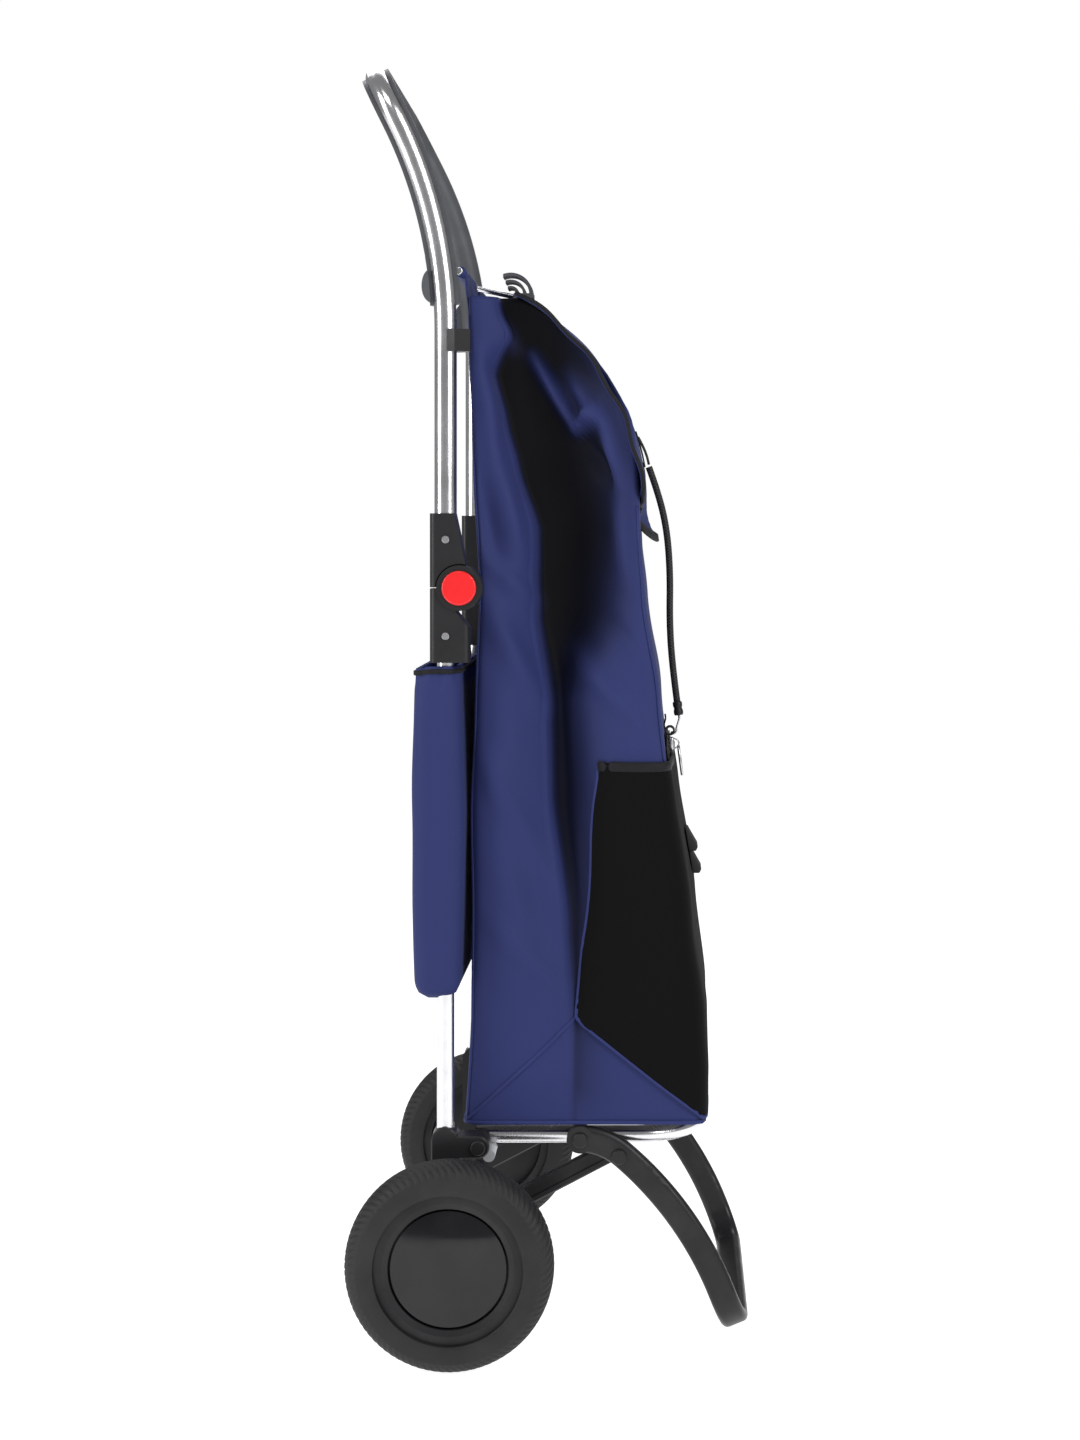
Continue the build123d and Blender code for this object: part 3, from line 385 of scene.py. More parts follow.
def newMaterial(name, colour, roughness, metallic=0.0):
    material = bpy.data.materials.new(name)
    material.use_nodes = True
    shader = material.node_tree.nodes["Principled BSDF"]
    shader.inputs["Base Color"].default_value = (*colour, 1)
    shader.inputs["Roughness"].default_value = roughness
    shader.inputs["Metallic"].default_value = metallic
    material.diffuse_color = (*colour, 1)
    return material, material.node_tree, shader


def objectVector(tree):
    return tree.nodes.new("ShaderNodeTexCoord").outputs["Object"]


def clothVector(tree):
    node = tree.nodes.new("ShaderNodeUVMap")
    node.uv_map = "UVMap"
    return node.outputs["UV"]


def placeGroup(tree, group, vector, **values):
    node = tree.nodes.new("ShaderNodeGroup")
    node.node_tree = group
    tree.links.new(vector, node.inputs["Vector"])
    for label, value in values.items():
        node.inputs[label].default_value = value
    return node.outputs


def bumpFrom(tree, shader, height, distance, strength=1.0):
    node = tree.nodes.new("ShaderNodeBump")
    node.inputs["Strength"].default_value = strength
    node.inputs["Distance"].default_value = distance
    tree.links.new(height, node.inputs["Height"])
    tree.links.new(node.outputs["Normal"], shader.inputs["Normal"])


# Between two colours by a mask. Each colour is a triple or a socket.
def blendColours(tree, mask, first, second):
    node = tree.nodes.new("ShaderNodeMix")
    node.data_type = "RGBA"
    tree.links.new(mask, node.inputs["Factor"])
    for place, value in ((6, first), (7, second)):
        if isinstance(value, tuple):
            node.inputs[place].default_value = (*value, 1)
        else:
            tree.links.new(value, node.inputs[place])
    return node.outputs[2]


def plasticMaterial(
    name, colour, roughness, grainScale=900.0, grainDepth=0.00008, worn=None, coat=0.0, shine=0.3
):
    material, tree, shader = newMaterial(name, colour, roughness)
    shader.inputs["Specular IOR Level"].default_value = shine
    grain = placeGroup(tree, grainGroup, objectVector(tree), Scale=grainScale)
    bumpFrom(tree, shader, grain["Height"], grainDepth, 0.5)
    worn = worn or tuple(min(1.0, c * 1.35 + 0.004) for c in colour)
    tree.links.new(blendColours(tree, grain["Handled"], colour, worn), shader.inputs["Base Color"])
    tree.links.new(
        remap(tree, grain["Handled"], 0.0, 1.0, roughness + 0.06, max(0.05, roughness - 0.07)),
        shader.inputs["Roughness"],
    )
    shader.inputs["Coat Weight"].default_value = coat
    shader.inputs["Coat Roughness"].default_value = 0.08
    return material


# Drawn and plated metal: faint lines along its length and slow smudges.
def metalMaterial(name, colour, roughness, stretch=(1.0, 1.0, 0.02), depth=0.00003):
    material, tree, shader = newMaterial(name, colour, roughness, 1.0)
    mapping = tree.nodes.new("ShaderNodeMapping")
    mapping.inputs["Scale"].default_value = stretch
    tree.links.new(objectVector(tree), mapping.inputs["Vector"])
    lines = noiseOf(tree, mapping.outputs["Vector"], 1400.0, 3.0, 0.6)
    grain = placeGroup(tree, grainGroup, objectVector(tree), Scale=500.0)
    bumpFrom(tree, shader, lines, depth, 0.35)
    touched = calc(tree, "MULTIPLY", grain["Handled"], 0.6)
    smudged = calc(tree, "ADD", touched, calc(tree, "MULTIPLY", lines, 0.4))
    tree.links.new(remap(tree, smudged, 0.0, 1.0, roughness * 0.7, roughness * 1.6), shader.inputs["Roughness"])
    darker = tuple(c * 0.86 for c in colour)
    tree.links.new(blendColours(tree, smudged, colour, darker), shader.inputs["Base Color"])
    return material


# Woven cloth. shade names an attribute of painted shade: it darkens the colour towards the shadow colour where
# the cloth lies deep in a fold.
def clothMaterial(name, colour, shadow, pitch=0.0009, roughness=0.62, depth=0.00022, shade=None, sheen=0.05):
    material, tree, shader = newMaterial(name, colour, roughness)
    weave = placeGroup(tree, weaveGroup, clothVector(tree), Pitch=pitch)
    bumpFrom(tree, shader, weave["Height"], depth, 0.55)
    slow = noiseOf(tree, objectVector(tree), 9.0, 4.0, 0.6)
    tone = calc(tree, "ADD", calc(tree, "MULTIPLY", weave["Tone"], 0.7), calc(tree, "MULTIPLY", slow, 0.3))
    # colour darker where the tone is low: partly painted shade between threads, partly uneven yarn and slow
    # random tone
    cloth = blendColours(tree, remap(tree, tone, 0.15, 0.75, 0.0, 1.0), tuple(c * 0.72 for c in colour), colour)
    if shade:
        # painted shade: the colour goes towards the shadow colour by the fold attribute
        deep = tree.nodes.new("ShaderNodeAttribute")
        deep.attribute_name = shade
        cloth = blendColours(tree, deep.outputs["Fac"], cloth, shadow)
    tree.links.new(cloth, shader.inputs["Base Color"])
    tree.links.new(remap(tree, tone, 0.0, 1.0, roughness + 0.1, roughness - 0.08), shader.inputs["Roughness"])
    shader.inputs["Specular IOR Level"].default_value = 0.16
    shader.inputs["Sheen Weight"].default_value = sheen
    shader.inputs["Sheen Roughness"].default_value = 0.4
    return material


def netMaterial(name, colour, hole, pitch=0.0036):
    material, tree, shader = newMaterial(name, colour, 0.7)
    shader.inputs["Specular IOR Level"].default_value = 0.2
    net = placeGroup(tree, netGroup, clothVector(tree), Pitch=pitch)
    bumpFrom(tree, shader, net["Height"], 0.0009, 0.9)
    slow = noiseOf(tree, objectVector(tree), 14.0, 3.0)
    yarn = blendColours(tree, slow, colour, tuple(c * 1.7 + 0.002 for c in colour))
    tree.links.new(blendColours(tree, net["Hole"], yarn, hole), shader.inputs["Base Color"])
    tree.links.new(remap(tree, net["Hole"], 0.0, 1.0, 0.62, 0.95), shader.inputs["Roughness"])
    return material


# Tyre rubber with dust in its slow hollows.
def rubberMaterial(name, colour, roughness, dust):
    material, tree, shader = newMaterial(name, colour, roughness)
    shader.inputs["Specular IOR Level"].default_value = 0.3
    grain = placeGroup(tree, grainGroup, objectVector(tree), Scale=1500.0)
    bumpFrom(tree, shader, grain["Height"], 0.00012, 0.6)
    tree.links.new(blendColours(tree, grain["Handled"], colour, dust), shader.inputs["Base Color"])
    dusty = remap(tree, grain["Handled"], 0.0, 1.0, roughness - 0.08, roughness + 0.12)
    tree.links.new(dusty, shader.inputs["Roughness"])
    return material


# A braided cord: slanting ribs round it, along its own length, with painted shade in the grooves between the
# ribs.
def cordMaterial(name, colour, rib):
    material, tree, shader = newMaterial(name, colour, 0.6)
    u, v, _ = splitVector(tree, clothVector(tree))
    slant = calc(tree, "ADD", calc(tree, "MULTIPLY", u, 0.5), v)
    ribs = calc(tree, "SINE", calc(tree, "MULTIPLY", slant, 2 * math.pi / rib))
    counter = calc(tree, "SUBTRACT", v, calc(tree, "MULTIPLY", u, 0.5))
    other = calc(tree, "SINE", calc(tree, "MULTIPLY", counter, 2 * math.pi / rib))
    braid = calc(tree, "MAXIMUM", ribs, other)
    bumpFrom(tree, shader, braid, 0.0005, 0.8)
    # painted shade: the colour darkens in the grooves where the braid is low
    tree.links.new(
        blendColours(tree, remap(tree, braid, -0.4, 1.0, 0.0, 1.0), tuple(c * 0.4 for c in colour), colour),
        shader.inputs["Base Color"],
    )
    tree.links.new(remap(tree, braid, -0.5, 1.0, 0.85, 0.5), shader.inputs["Roughness"])
    return material


finishes = {
    "tyre_rubber": rubberMaterial("tyreRubber", (0.012, 0.012, 0.013), 0.6, (0.024, 0.024, 0.025)),
    "rim_plastic": plasticMaterial("rimPlastic", (0.009, 0.009, 0.01), 0.42, 1100.0),
    "hubcap_plastic": plasticMaterial("hubcapPlastic", (0.004, 0.004, 0.005), 0.13, 300.0, 0.00001, shine=0.4),
    "steel": metalMaterial("platedTube", (0.8, 0.8, 0.82), 0.2),
    "zinc": metalMaterial("zincFittings", (0.62, 0.62, 0.64), 0.24, (1.0, 1.0, 1.0)),
    "black_plastic": plasticMaterial("hingePlastic", (0.011, 0.011, 0.012), 0.38, 1300.0, 0.0001),
    "grey_plastic": plasticMaterial("gripPlastic", (0.055, 0.058, 0.064), 0.5, 1600.0, 0.0001),
    "red_plastic": plasticMaterial("buttonRed", (0.62, 0.012, 0.014), 0.3, 800.0, 0.00003, coat=0.2),
    "stand_plastic": plasticMaterial("standPlastic", (0.01, 0.01, 0.011), 0.36, 700.0, 0.00012),
    "foot_rubber": rubberMaterial("footRubber", (0.013, 0.013, 0.013), 0.7, (0.028, 0.028, 0.028)),
    "stop_plastic": plasticMaterial("stopPlastic", (0.42, 0.43, 0.45), 0.45, 900.0),
    # the bag cloth takes painted shade deep in its side fold
    "blue_fabric": clothMaterial(
        "bagCloth", (0.028, 0.038, 0.145), (0.0005, 0.0006, 0.002), shade="paintedFoldShade", sheen=0.03
    ),
    "black_mesh": netMaterial("pocketNet", (0.006, 0.006, 0.0065), (0.0008, 0.0008, 0.0009)),
    "binding": clothMaterial("bindingTape", (0.012, 0.012, 0.014), (0.01, 0.01, 0.012), 0.0012),
    "board": plasticMaterial("baseBoard", (0.06, 0.06, 0.065), 0.6, 300.0, 0.0002),
    "strap_black": cordMaterial("strapCord", (0.017, 0.017, 0.019), strapSet["rib"] * 2.4),
}
print("materials made")

for row in frame["record"]["subparts"]:
    node = frame["nodes"][row["node"]]
    node.data.materials.clear()
    node.data.materials.append(finishes[row["material_slot"]])

# lid
lid = {
    "half": 0.1235,
    "hinge": (0.048, 0.8555),
    "front": (0.1535, 0.687),
    "bulge": 0.0275,
    "tongueHalf": 0.060,
    "tongueDrop": 0.033,
    "edgeDroop": 0.004,
    "wall": 0.0018,
    "bindingWidth": 0.0075,
    "bindingWall": 0.0030,
    "across": 84,
    "along": 84,
}


# The lid's curve seen from the side, 0 at its hinge and 1 where the tongue starts, with its outward normal.
def lidCurve(share):
    (startX, startZ), (endX, endZ) = lid["hinge"], lid["front"]
    chordX, chordZ = endX - startX, endZ - startZ
    chord = math.hypot(chordX, chordZ)
    outX, outZ = -chordZ / chord, chordX / chord
    radius = ((chord / 2) ** 2 + lid["bulge"] ** 2) / (2 * lid["bulge"])
    if share <= 1:
        off = chord * (share - 0.5)
        rise = math.sqrt(radius**2 - off**2) - (radius - lid["bulge"])
        lean = off / radius
        place = Vector((startX + chordX * share + outX * rise, 0, startZ + chordZ * share + outZ * rise))
        normal = Vector((outX, 0, outZ)) * math.sqrt(1 - lean**2) + Vector((chordX, 0, chordZ)) / chord * lean
        return place, normal.normalized()
    drop = (share - 1) * lid["tongueDrop"]
    out = 0.009 * (share - 1) - 0.003 * math.sin(math.pi * min(1.0, share - 1))
    return Vector((endX + out, 0, endZ - drop)), Vector((1, 0, 0.15)).normalized()


# the bag
bag = {
    "half": 0.124,
    "rows": (
        # height, rear, front, fold's place, fold's depth, where the painted shadow ends
        (0.177, 0.006, 0.202, 0.096, 0.000, 0.098),
        (0.215, 0.008, 0.201, 0.096, 0.003, 0.098),
        (0.263, 0.010, 0.199, 0.096, 0.012, 0.104),
        (0.340, 0.011, 0.189, 0.091, 0.022, 0.108),
        (0.440, 0.012, 0.175, 0.079, 0.034, 0.104),
        (0.520, 0.014, 0.165, 0.077, 0.042, 0.096),
        (0.600, 0.016, 0.154, 0.064, 0.050, 0.128),
        (0.661, 0.015, 0.150, 0.064, 0.052, 0.136),
        (0.712, 0.014, 0.148, 0.047, 0.050, 0.134),
        (0.753, 0.013, 0.144, 0.037, 0.044, 0.128),
        (0.789, 0.011, 0.132, 0.028, 0.038, 0.122),
        (0.818, 0.010, 0.112, 0.041, 0.030, 0.108),
        (0.852, 0.009, 0.080, 0.034, 0.022, 0.078),
    ),
    "columns": 240,
    "lines": 150,
    "rimRear": 0.852,
    "underLid": 0.0022,
    "wall": 0.0016,
    # creases on the sides: from and to as (ahead, height), half width, lift
    "creases": (
        ((0.060, 0.806), (0.098, 0.745), 0.0055, 0.015),
        ((0.098, 0.745), (0.120, 0.764), 0.0055, 0.013),
        ((0.092, 0.790), (0.118, 0.752), 0.0080, 0.010),
        ((0.120, 0.764), (0.134, 0.700), 0.0070, 0.010),
        ((0.134, 0.700), (0.140, 0.620), 0.0080, 0.007),
        ((0.106, 0.735), (0.124, 0.700), 0.0060, -0.008),
        ((0.034, 0.836), (0.044, 0.812), 0.0060, 0.008),
        ((0.018, 0.800), (0.030, 0.720), 0.0065, 0.007),
        ((0.030, 0.720), (0.050, 0.640), 0.0080, 0.007),
        ((0.020, 0.705), (0.040, 0.610), 0.0100, -0.006),
        ((0.024, 0.640), (0.060, 0.600), 0.0080, 0.006),
        ((0.030, 0.590), (0.068, 0.515), 0.0100, 0.007),
        ((0.022, 0.480), (0.064, 0.385), 0.0110, 0.006),
        ((0.040, 0.440), (0.074, 0.330), 0.0100, -0.005),
        ((0.030, 0.340), (0.085, 0.285), 0.0100, 0.005),
        ((0.100, 0.560), (0.150, 0.500), 0.0100, 0.006),
        ((0.120, 0.590), (0.146, 0.560), 0.0090, -0.005),
    ),
    "wrinkle": 0.0030,
}


# The bag's sizes at a height, between its rows.
def bagRow(height):
    rows = bag["rows"]
    height = min(max(height, rows[0][0]), rows[-1][0])
    for low, high in zip(rows, rows[1:]):
        if height <= high[0]:
            share = (height - low[0]) / (high[0] - low[0])
            share = share * share * (3 - 2 * share) * 0.4 + share * 0.6
            return [a + (b - a) * share for a, b in zip(low[1:], high[1:])]
    return list(rows[-1][1:])


lidEdge = [(place.x, place.z) for place, _ in (lidCurve(i / 60) for i in range(61))]


# The height of the bag's top edge, level over the roof and then just under the lid's curve.
def rimHeight(ahead):
    if ahead <= lidEdge[0][0]:
        return bag["rimRear"]
    for (nearX, nearZ), (farX, farZ) in zip(lidEdge, lidEdge[1:]):
        if nearX <= ahead <= farX:
            share = (ahead - nearX) / max(farX - nearX, 1e-9)
            return nearZ + (farZ - nearZ) * share - bag["underLid"]
    return lidEdge[-1][1] - bag["underLid"]


# A point of one side of the bag's outline: turn runs 0 at the rear's middle, 1 at its corner, 2 at the fold,
# 3 at the front corner and 4 at the front's middle. Gives ahead, half width and how much painted shade it gets
# deep in the fold.
def sidePoint(turn, height):
    rear, front, fold, depth, shadowEnd = bagRow(height)
    half = bag["half"]
    low = max(0.0, 1 - (height - 0.177) / 0.03)
    slump = 0.006 * math.sin(math.pi * min(1.0, (height - 0.177) / 0.5))
    if turn <= 1:
        return rear, half * turn, 0.0
    if turn >= 3:
        return front, half * (4 - turn), 0.0
    if turn <= 2:
        share = turn - 1
        ahead = rear + (fold - rear) * share
        belly = slump * math.sin(math.pi * min(1.0, share * 1.25)) if share < 0.8 else 0.0
        dip = depth * 0.62 * share ** 2.4
        if share > 0.93:
            dip += depth * 0.38 * ((share - 0.93) / 0.07) ** 1.5
        return ahead, half - dip + belly * (1 - low), max(0.0, (share - 0.985) / 0.015)
    share = turn - 2
    ahead = fold + (front - fold) * share
    ends = min(0.95, max(0.02, (shadowEnd - fold) / (front - fold)))
    # fade is the painted shade deep in the fold, and it also shapes the fold's dip
    fade = 1 / (1 + math.exp((share - ends) * 11))
    fade *= 1 - low
    swell = 1 + 0.5 * math.sin(math.pi * min(1.0, share / ends))
    dip = depth * (0.55 * fade * swell + 0.45 * (1 - share) ** 2.0)
    return ahead, half - dip * (1 - share ** 6) + slump * 0.6 * math.sin(math.pi * share) * (1 - fade), fade


# How far the side's creases lift the cloth at a place.
def creaseLift(ahead, height, side):
    lift = 0.0
    shift = 0.006 if side > 0 else 0.0
    for (startX, startZ), (endX, endZ), width, amount in bag["creases"]:
        runX, runZ = endX - startX, endZ - startZ
        share = ((ahead - startX) * runX + (height - startZ - shift) * runZ) / (runX * runX + runZ * runZ)
        share = min(max(share, 0.0), 1.0)
        away = math.hypot(ahead - startX - runX * share, height - startZ - shift - runZ * share)
        taper = math.sin(math.pi * (0.12 + 0.76 * share))
        lift += amount * taper * math.exp(-((away / width) ** 2))
    return lift


# The outline's point with its corners rounded and the fold's crease kept sharp.
def softened(turn, height):
    reach = 0.03 if abs(turn - 2) < 0.12 else 0.11
    total, weight = [0.0, 0.0, 0.0], 0.0
    for step in (-2, -1, 0, 1, 2):
        at = abs(turn + step * reach / 2)
        at = 8 - at if at > 4 else at
        w = (1.0, 0.85, 0.45)[abs(step)]
        for place, value in enumerate(sidePoint(at, height)):
            total[place] += value * w
        weight += w
    return [t / weight for t in total]


# A point of the bag's outside. turn runs -4 to 4, negative on the right. Gives the place and the painted fold
# shade.
def bagPoint(turn, height, out=0.0, wrinkled=True):
    side = 1 if turn >= 0 else -1
    if abs(turn) < 0.15:
        side = 1
    ahead, half, shade = softened(abs(turn), height)
    nearAhead, nearHalf, _ = softened(min(abs(turn) + 0.02, 4.0), height)
    farAhead, farHalf, _ = softened(max(abs(turn) - 0.02, 0.0), height)
    along = Vector((nearAhead - farAhead, nearHalf - farHalf, 0))
    normal = Vector((-along.y, along.x, 0)).normalized() if along.length > 1e-9 else Vector((1, 0, 0))
    lift = out
    if wrinkled:
        calm = min(1.0, (height - 0.177) / 0.04) * min(1.0, max(0.0, (rimHeight(ahead) - height) / 0.05))
        flat = math.sin(math.pi * min(1.0, max(0.0, (abs(turn) - 0.9) / 2.2)))
        where = Vector((ahead * 14, half * (9 if turn >= 0 else -9), height * 7))
        ripple = noise.noise(where) + 0.5 * noise.noise(where * 2.3)
        lift += bag["wrinkle"] * ripple * calm
        if 1 < abs(turn) < 3:
            crease = creaseLift(ahead, height, side) * calm * min(1.0, flat * 3)
            lift += crease
            if abs(turn) > 2:
                # crease ridges take away the painted shade, as if lit
                shade *= max(0.0, 1 - max(0.0, crease) / 0.0085)
    ahead += normal.x * lift
    half += normal.y * lift
    y = half * (1 if turn >= 0 else -1)
    return Vector((axleX + ahead, y, height)), shade


# Places round the bag, closer together beside the fold.
def ringTurns(count):
    turns = []
    for number in range(count):
        share = number / count * 8 - 4
        whole = math.floor(share)
        part = share - whole
        if whole == 1:
            part = 1 - (1 - part) ** 1.6
        turns.append(whole + part)
    return turns


def makeBagShell():
    bm = bmesh.new()
    columns, lines = bag["columns"], bag["lines"]
    bmesh.ops.create_grid(bm, x_segments=columns, y_segments=lines, size=0.5, calc_uvs=True)
    uvLayer = bm.loops.layers.uv.verify()
    # painted shade deep in the side fold, read by the cloth's colour
    shadeLayer = bm.verts.layers.float.new("paintedFoldShade")
    turns = ringTurns(columns) + [4.0]
    girth = {}
    bottom = bag["rows"][0][0]
    for vert in bm.verts:
        column = round((vert.co.x + 0.5) * columns)
        line = round((vert.co.y + 0.5) * lines) / lines
        turn = turns[column]
        height = 0.8
        for _ in range(4):
            height = rimHeight(softened(abs(turn), height)[0])
        place, shade = bagPoint(turn, bottom + (height - bottom) * line)
        girth[vert] = (turn * 0.112, place.z)
        vert.co = place
        vert[shadeLayer] = min(1.0, shade)
    for face in bm.faces:
        for loop in face.loops:
            loop[uvLayer].uv = girth[loop.vert]
    bmesh.ops.remove_doubles(bm, verts=bm.verts[:], dist=0.00002)
    rim = [e for e in bm.edges if e.is_boundary and max(v.co.z for v in e.verts) < bottom + 0.001]
    floor = bmesh.ops.triangle_fill(bm, use_beauty=True, use_dissolve=False, edges=rim)
    for face in [g for g in floor["geom"] if isinstance(g, bmesh.types.BMFace)]:
        for loop in face.loops:
            loop[uvLayer].uv = (loop.vert.co.x, loop.vert.co.y)
    bmesh.ops.recalc_face_normals(bm, faces=bm.faces[:])
    shell = finishMesh(bm, "bagCloth", "frame", finishes["blue_fabric"])
    return solidify(shell, bag["wall"])


shellPiece = makeBagShell()
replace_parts(shellPiece, "bag_shell")
print("bag made")


# Gives the piece its own copy of its mesh; nothing is folded or flattened.
def squashWithFold(piece):
    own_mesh(piece)


# lid cloth
# Half the lid's width at a place along its curve, rounded into the tongue.
def lidHalf(share):
    if share <= 0.94:
        return lid["half"]
    if share <= 1:
        rounding = (share - 0.94) / 0.06
        return lid["half"] - 0.014 * (1 - math.sqrt(max(0.0, 1 - rounding**2)))
    down = share - 1
    flare = (lid["half"] - 0.014 - lid["tongueHalf"]) * max(0.0, 1 - down / 0.16) ** 2
    return (lid["tongueHalf"] + flare) * math.sqrt(max(0.0, 1 - max(0.0, (down - 0.3) / 0.7) ** 2.4))


# A point of the lid's outside. across is -1 to 1.
def lidPoint(across, share, out=0.0):
    centre, normal = lidCurve(share)
    y = across * lidHalf(share)
    edge = max(0.0, (abs(y) - 0.10) / (lid["half"] - 0.10))
    waves = 0.0011 * noise.noise(Vector((share * 6, y * 25, 3))) + 0.0014 * edge * math.sin(share * 23 + across)
    droop = lid["edgeDroop"] * edge**2 * math.sin(math.pi * min(1.0, share * 0.98 + 0.02))
    crown = 0.0015 * min(1.0, share) ** 2 + 0.0085 * min(1.0, max(0.0, (share - 0.96) * 2))
    place = centre + normal * (out + waves - droop - crown * (y / 0.062) ** 2 * (1 if share > 1 else 0.35))
    return Vector((axleX + place.x, y, place.z)), normal


def makeLid():
    bm = bmesh.new()
    bmesh.ops.create_grid(bm, x_segments=lid["across"], y_segments=lid["along"], size=0.5, calc_uvs=True)
    uvLayer = bm.loops.layers.uv.verify()
    flat = {}
    for vert in bm.verts:
        share = (vert.co.y + 0.5) ** 0.9 * 2.0
        share = share * 0.62 if share < 1.6 else 0.992 + (share - 1.6) / 0.4 * 1.008
        across = vert.co.x * 2
        place, _ = lidPoint(across, share)
        flat[vert] = (place.y, share * 0.21)
        vert.co = place
    for face in bm.faces:
        for loop in face.loops:
            loop[uvLayer].uv = flat[loop.vert]
    bmesh.ops.recalc_face_normals(bm, faces=bm.faces[:])
    if sum(f.normal.z for f in bm.faces) < 0:
        bmesh.ops.reverse_faces(bm, faces=bm.faces[:])
    area = sum(f.calc_area() for f in bm.faces)
    piece = finishMesh(bm, "lidCloth", "lid", finishes["blue_fabric"])
    piece.data.materials.append(liningMaterial)
    solidify(piece, lid["wall"]).modifiers["wall"].material_offset = 1
    return piece, area


def makeLidBinding():
    rise = [i / 46 for i in range(46)]
    down = [1 + i / 16 for i in range(17)]
    right = [(-1, s) for s in rise] + [(-1, s) for s in down]
    end = right + [(c / 6, 2.0) for c in range(-5, 6)]
    border = end + [(1, s) for _, s in reversed(right)]
    points, sides = [], []
    for across, share in border:
        place, normal = lidPoint(across, min(share, 1.985), 0.0004)
        if points and (place - points[-1]).length < 0.0008:
            continue
        points.append(place)
        sides.append(normal)
    ups = []
    for number, normal in enumerate(sides):
        along = points[min(number + 1, len(points) - 1)] - points[max(number - 1, 0)]
        ups.append(along.cross(normal).normalized())
    width, wall = lid["bindingWidth"] / 2, lid["bindingWall"] / 2
    bm = sweep(points, flatSection(width, wall, 0.8), ups)
    return finishMesh(bm, "lidBinding", "lid", finishes["binding"])


liningMaterial = clothMaterial("lidLining", (0.016, 0.018, 0.07), (0.004, 0.004, 0.012), roughness=0.5)
lidPiece, lidArea = makeLid()
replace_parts(lidPiece, "lid_flap")
bindingPiece = makeLidBinding()
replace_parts(bindingPiece, "lid_binding")
print("lid made")

# net pocket on the front, with its zip
pocket = {
    "top": 0.468,
    "bottom": 0.182,
    "corner": 0.2625,
    "standOff": 0.0018,
    "bulge": 0.0040,
    "columns": 150,
    "lines": 90,
    "wall": 0.0010,
}


# How far round the bag the pocket's side edge is at a height.
def pocketEdge(height):
    share = min(1.0, max(0.0, (height - pocket["corner"]) / 0.20))
    return 2.0 + 0.40 * share


# A point of the net. across is -1 to 1 round the front, share 0 to 1 up.
def pocketPoint(across, share):
    height = pocket["bottom"] + (pocket["top"] - pocket["bottom"]) * share
    for _ in range(5):
        turn = 4 - abs(across) * (4 - pocketEdge(height))
        low = pocket["corner"] + (pocket["bottom"] - pocket["corner"]) * min(1.0, turn - 2)
        height = low + (pocket["top"] - low) * share
    front = max(0.0, min(1.0, (turn - 3) * 2))
    out = pocket["standOff"] + pocket["bulge"] * front * math.sin(math.pi * min(1.0, 0.15 + share * 0.6))
    place, _ = bagPoint(turn if across >= 0 else -turn, height, out)
    return place, turn, height


def makeNetPocket():
    bm = bmesh.new()
    bmesh.ops.create_grid(bm, x_segments=pocket["columns"], y_segments=pocket["lines"], size=0.5, calc_uvs=True)
    uvLayer = bm.loops.layers.uv.verify()
    flat = {}
    for vert in bm.verts:
        across, share = vert.co.x * 2, vert.co.y + 0.5
        place, turn, height = pocketPoint(across, share)
        flat[vert] = ((4 - turn) * 0.118 * (1 if across >= 0 else -1), height)
        vert.co = place
    for face in bm.faces:
        for loop in face.loops:
            loop[uvLayer].uv = flat[loop.vert]
    bmesh.ops.recalc_face_normals(bm, faces=bm.faces[:])
    piece = finishMesh(bm, "netPocket", "frame", finishes["black_mesh"])
    return solidify(piece, pocket["wall"], 0.0)


# A flat strip that lies on the cloth along a line of points.
def tapeAlong(name, points, normals, width, wall, slotName, body="frame"):
    ups = []
    for number, normal in enumerate(normals):
        along = points[min(number + 1, len(points) - 1)] - points[max(number - 1, 0)]
        ups.append(along.cross(normal).normalized())
    section = flatSection(width / 2, wall / 2, 0.75)
    return finishMesh(sweep(points, section, ups), name, body, finishes[slotName])


def outwardAt(turn, height):
    a, _ = bagPoint(turn, height, 0.0, False)
    b, _ = bagPoint(turn, height, 0.01, False)
    return (b - a).normalized()


# Points on the bag's cloth and its outward directions, for seams and tapes.
def bagLine(places, out):
    points = [bagPoint(turn, height, out)[0] for turn, height in places]
    return points, [outwardAt(turn, height) for turn, height in places]


netPiece = makeNetPocket()
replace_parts(netPiece, "mesh_pocket")
pocketBorder = [pocketPoint(-1, 1 - i / 24)[0] for i in range(25)]
pocketBorder += [pocketPoint(-1 + i / 60 * 2, 0)[0] for i in range(1, 61)]
pocketBorder += [pocketPoint(1, i / 24)[0] for i in range(1, 25)]
borderNormals = [outwardAt(-2.6, 0.3)] * 25
borderNormals += [Vector((0.6, p.y * 6, 0)).normalized() for p in pocketBorder[25:85]]
borderNormals += [outwardAt(2.6, 0.3)] * 24
seams = [tapeAlong("pocketSeam", pocketBorder, borderNormals, 0.0034, 0.0016, "blue_fabric")]
topLine = [pocketPoint(-1 + i / 60 * 2, 1)[0] for i in range(61)]
topNormals = [Vector((0.9, p.y * 3, 0)).normalized() for p in topLine]
seams.append(tapeAlong("pocketHem", topLine, topNormals, 0.0085, 0.0026, "binding"))

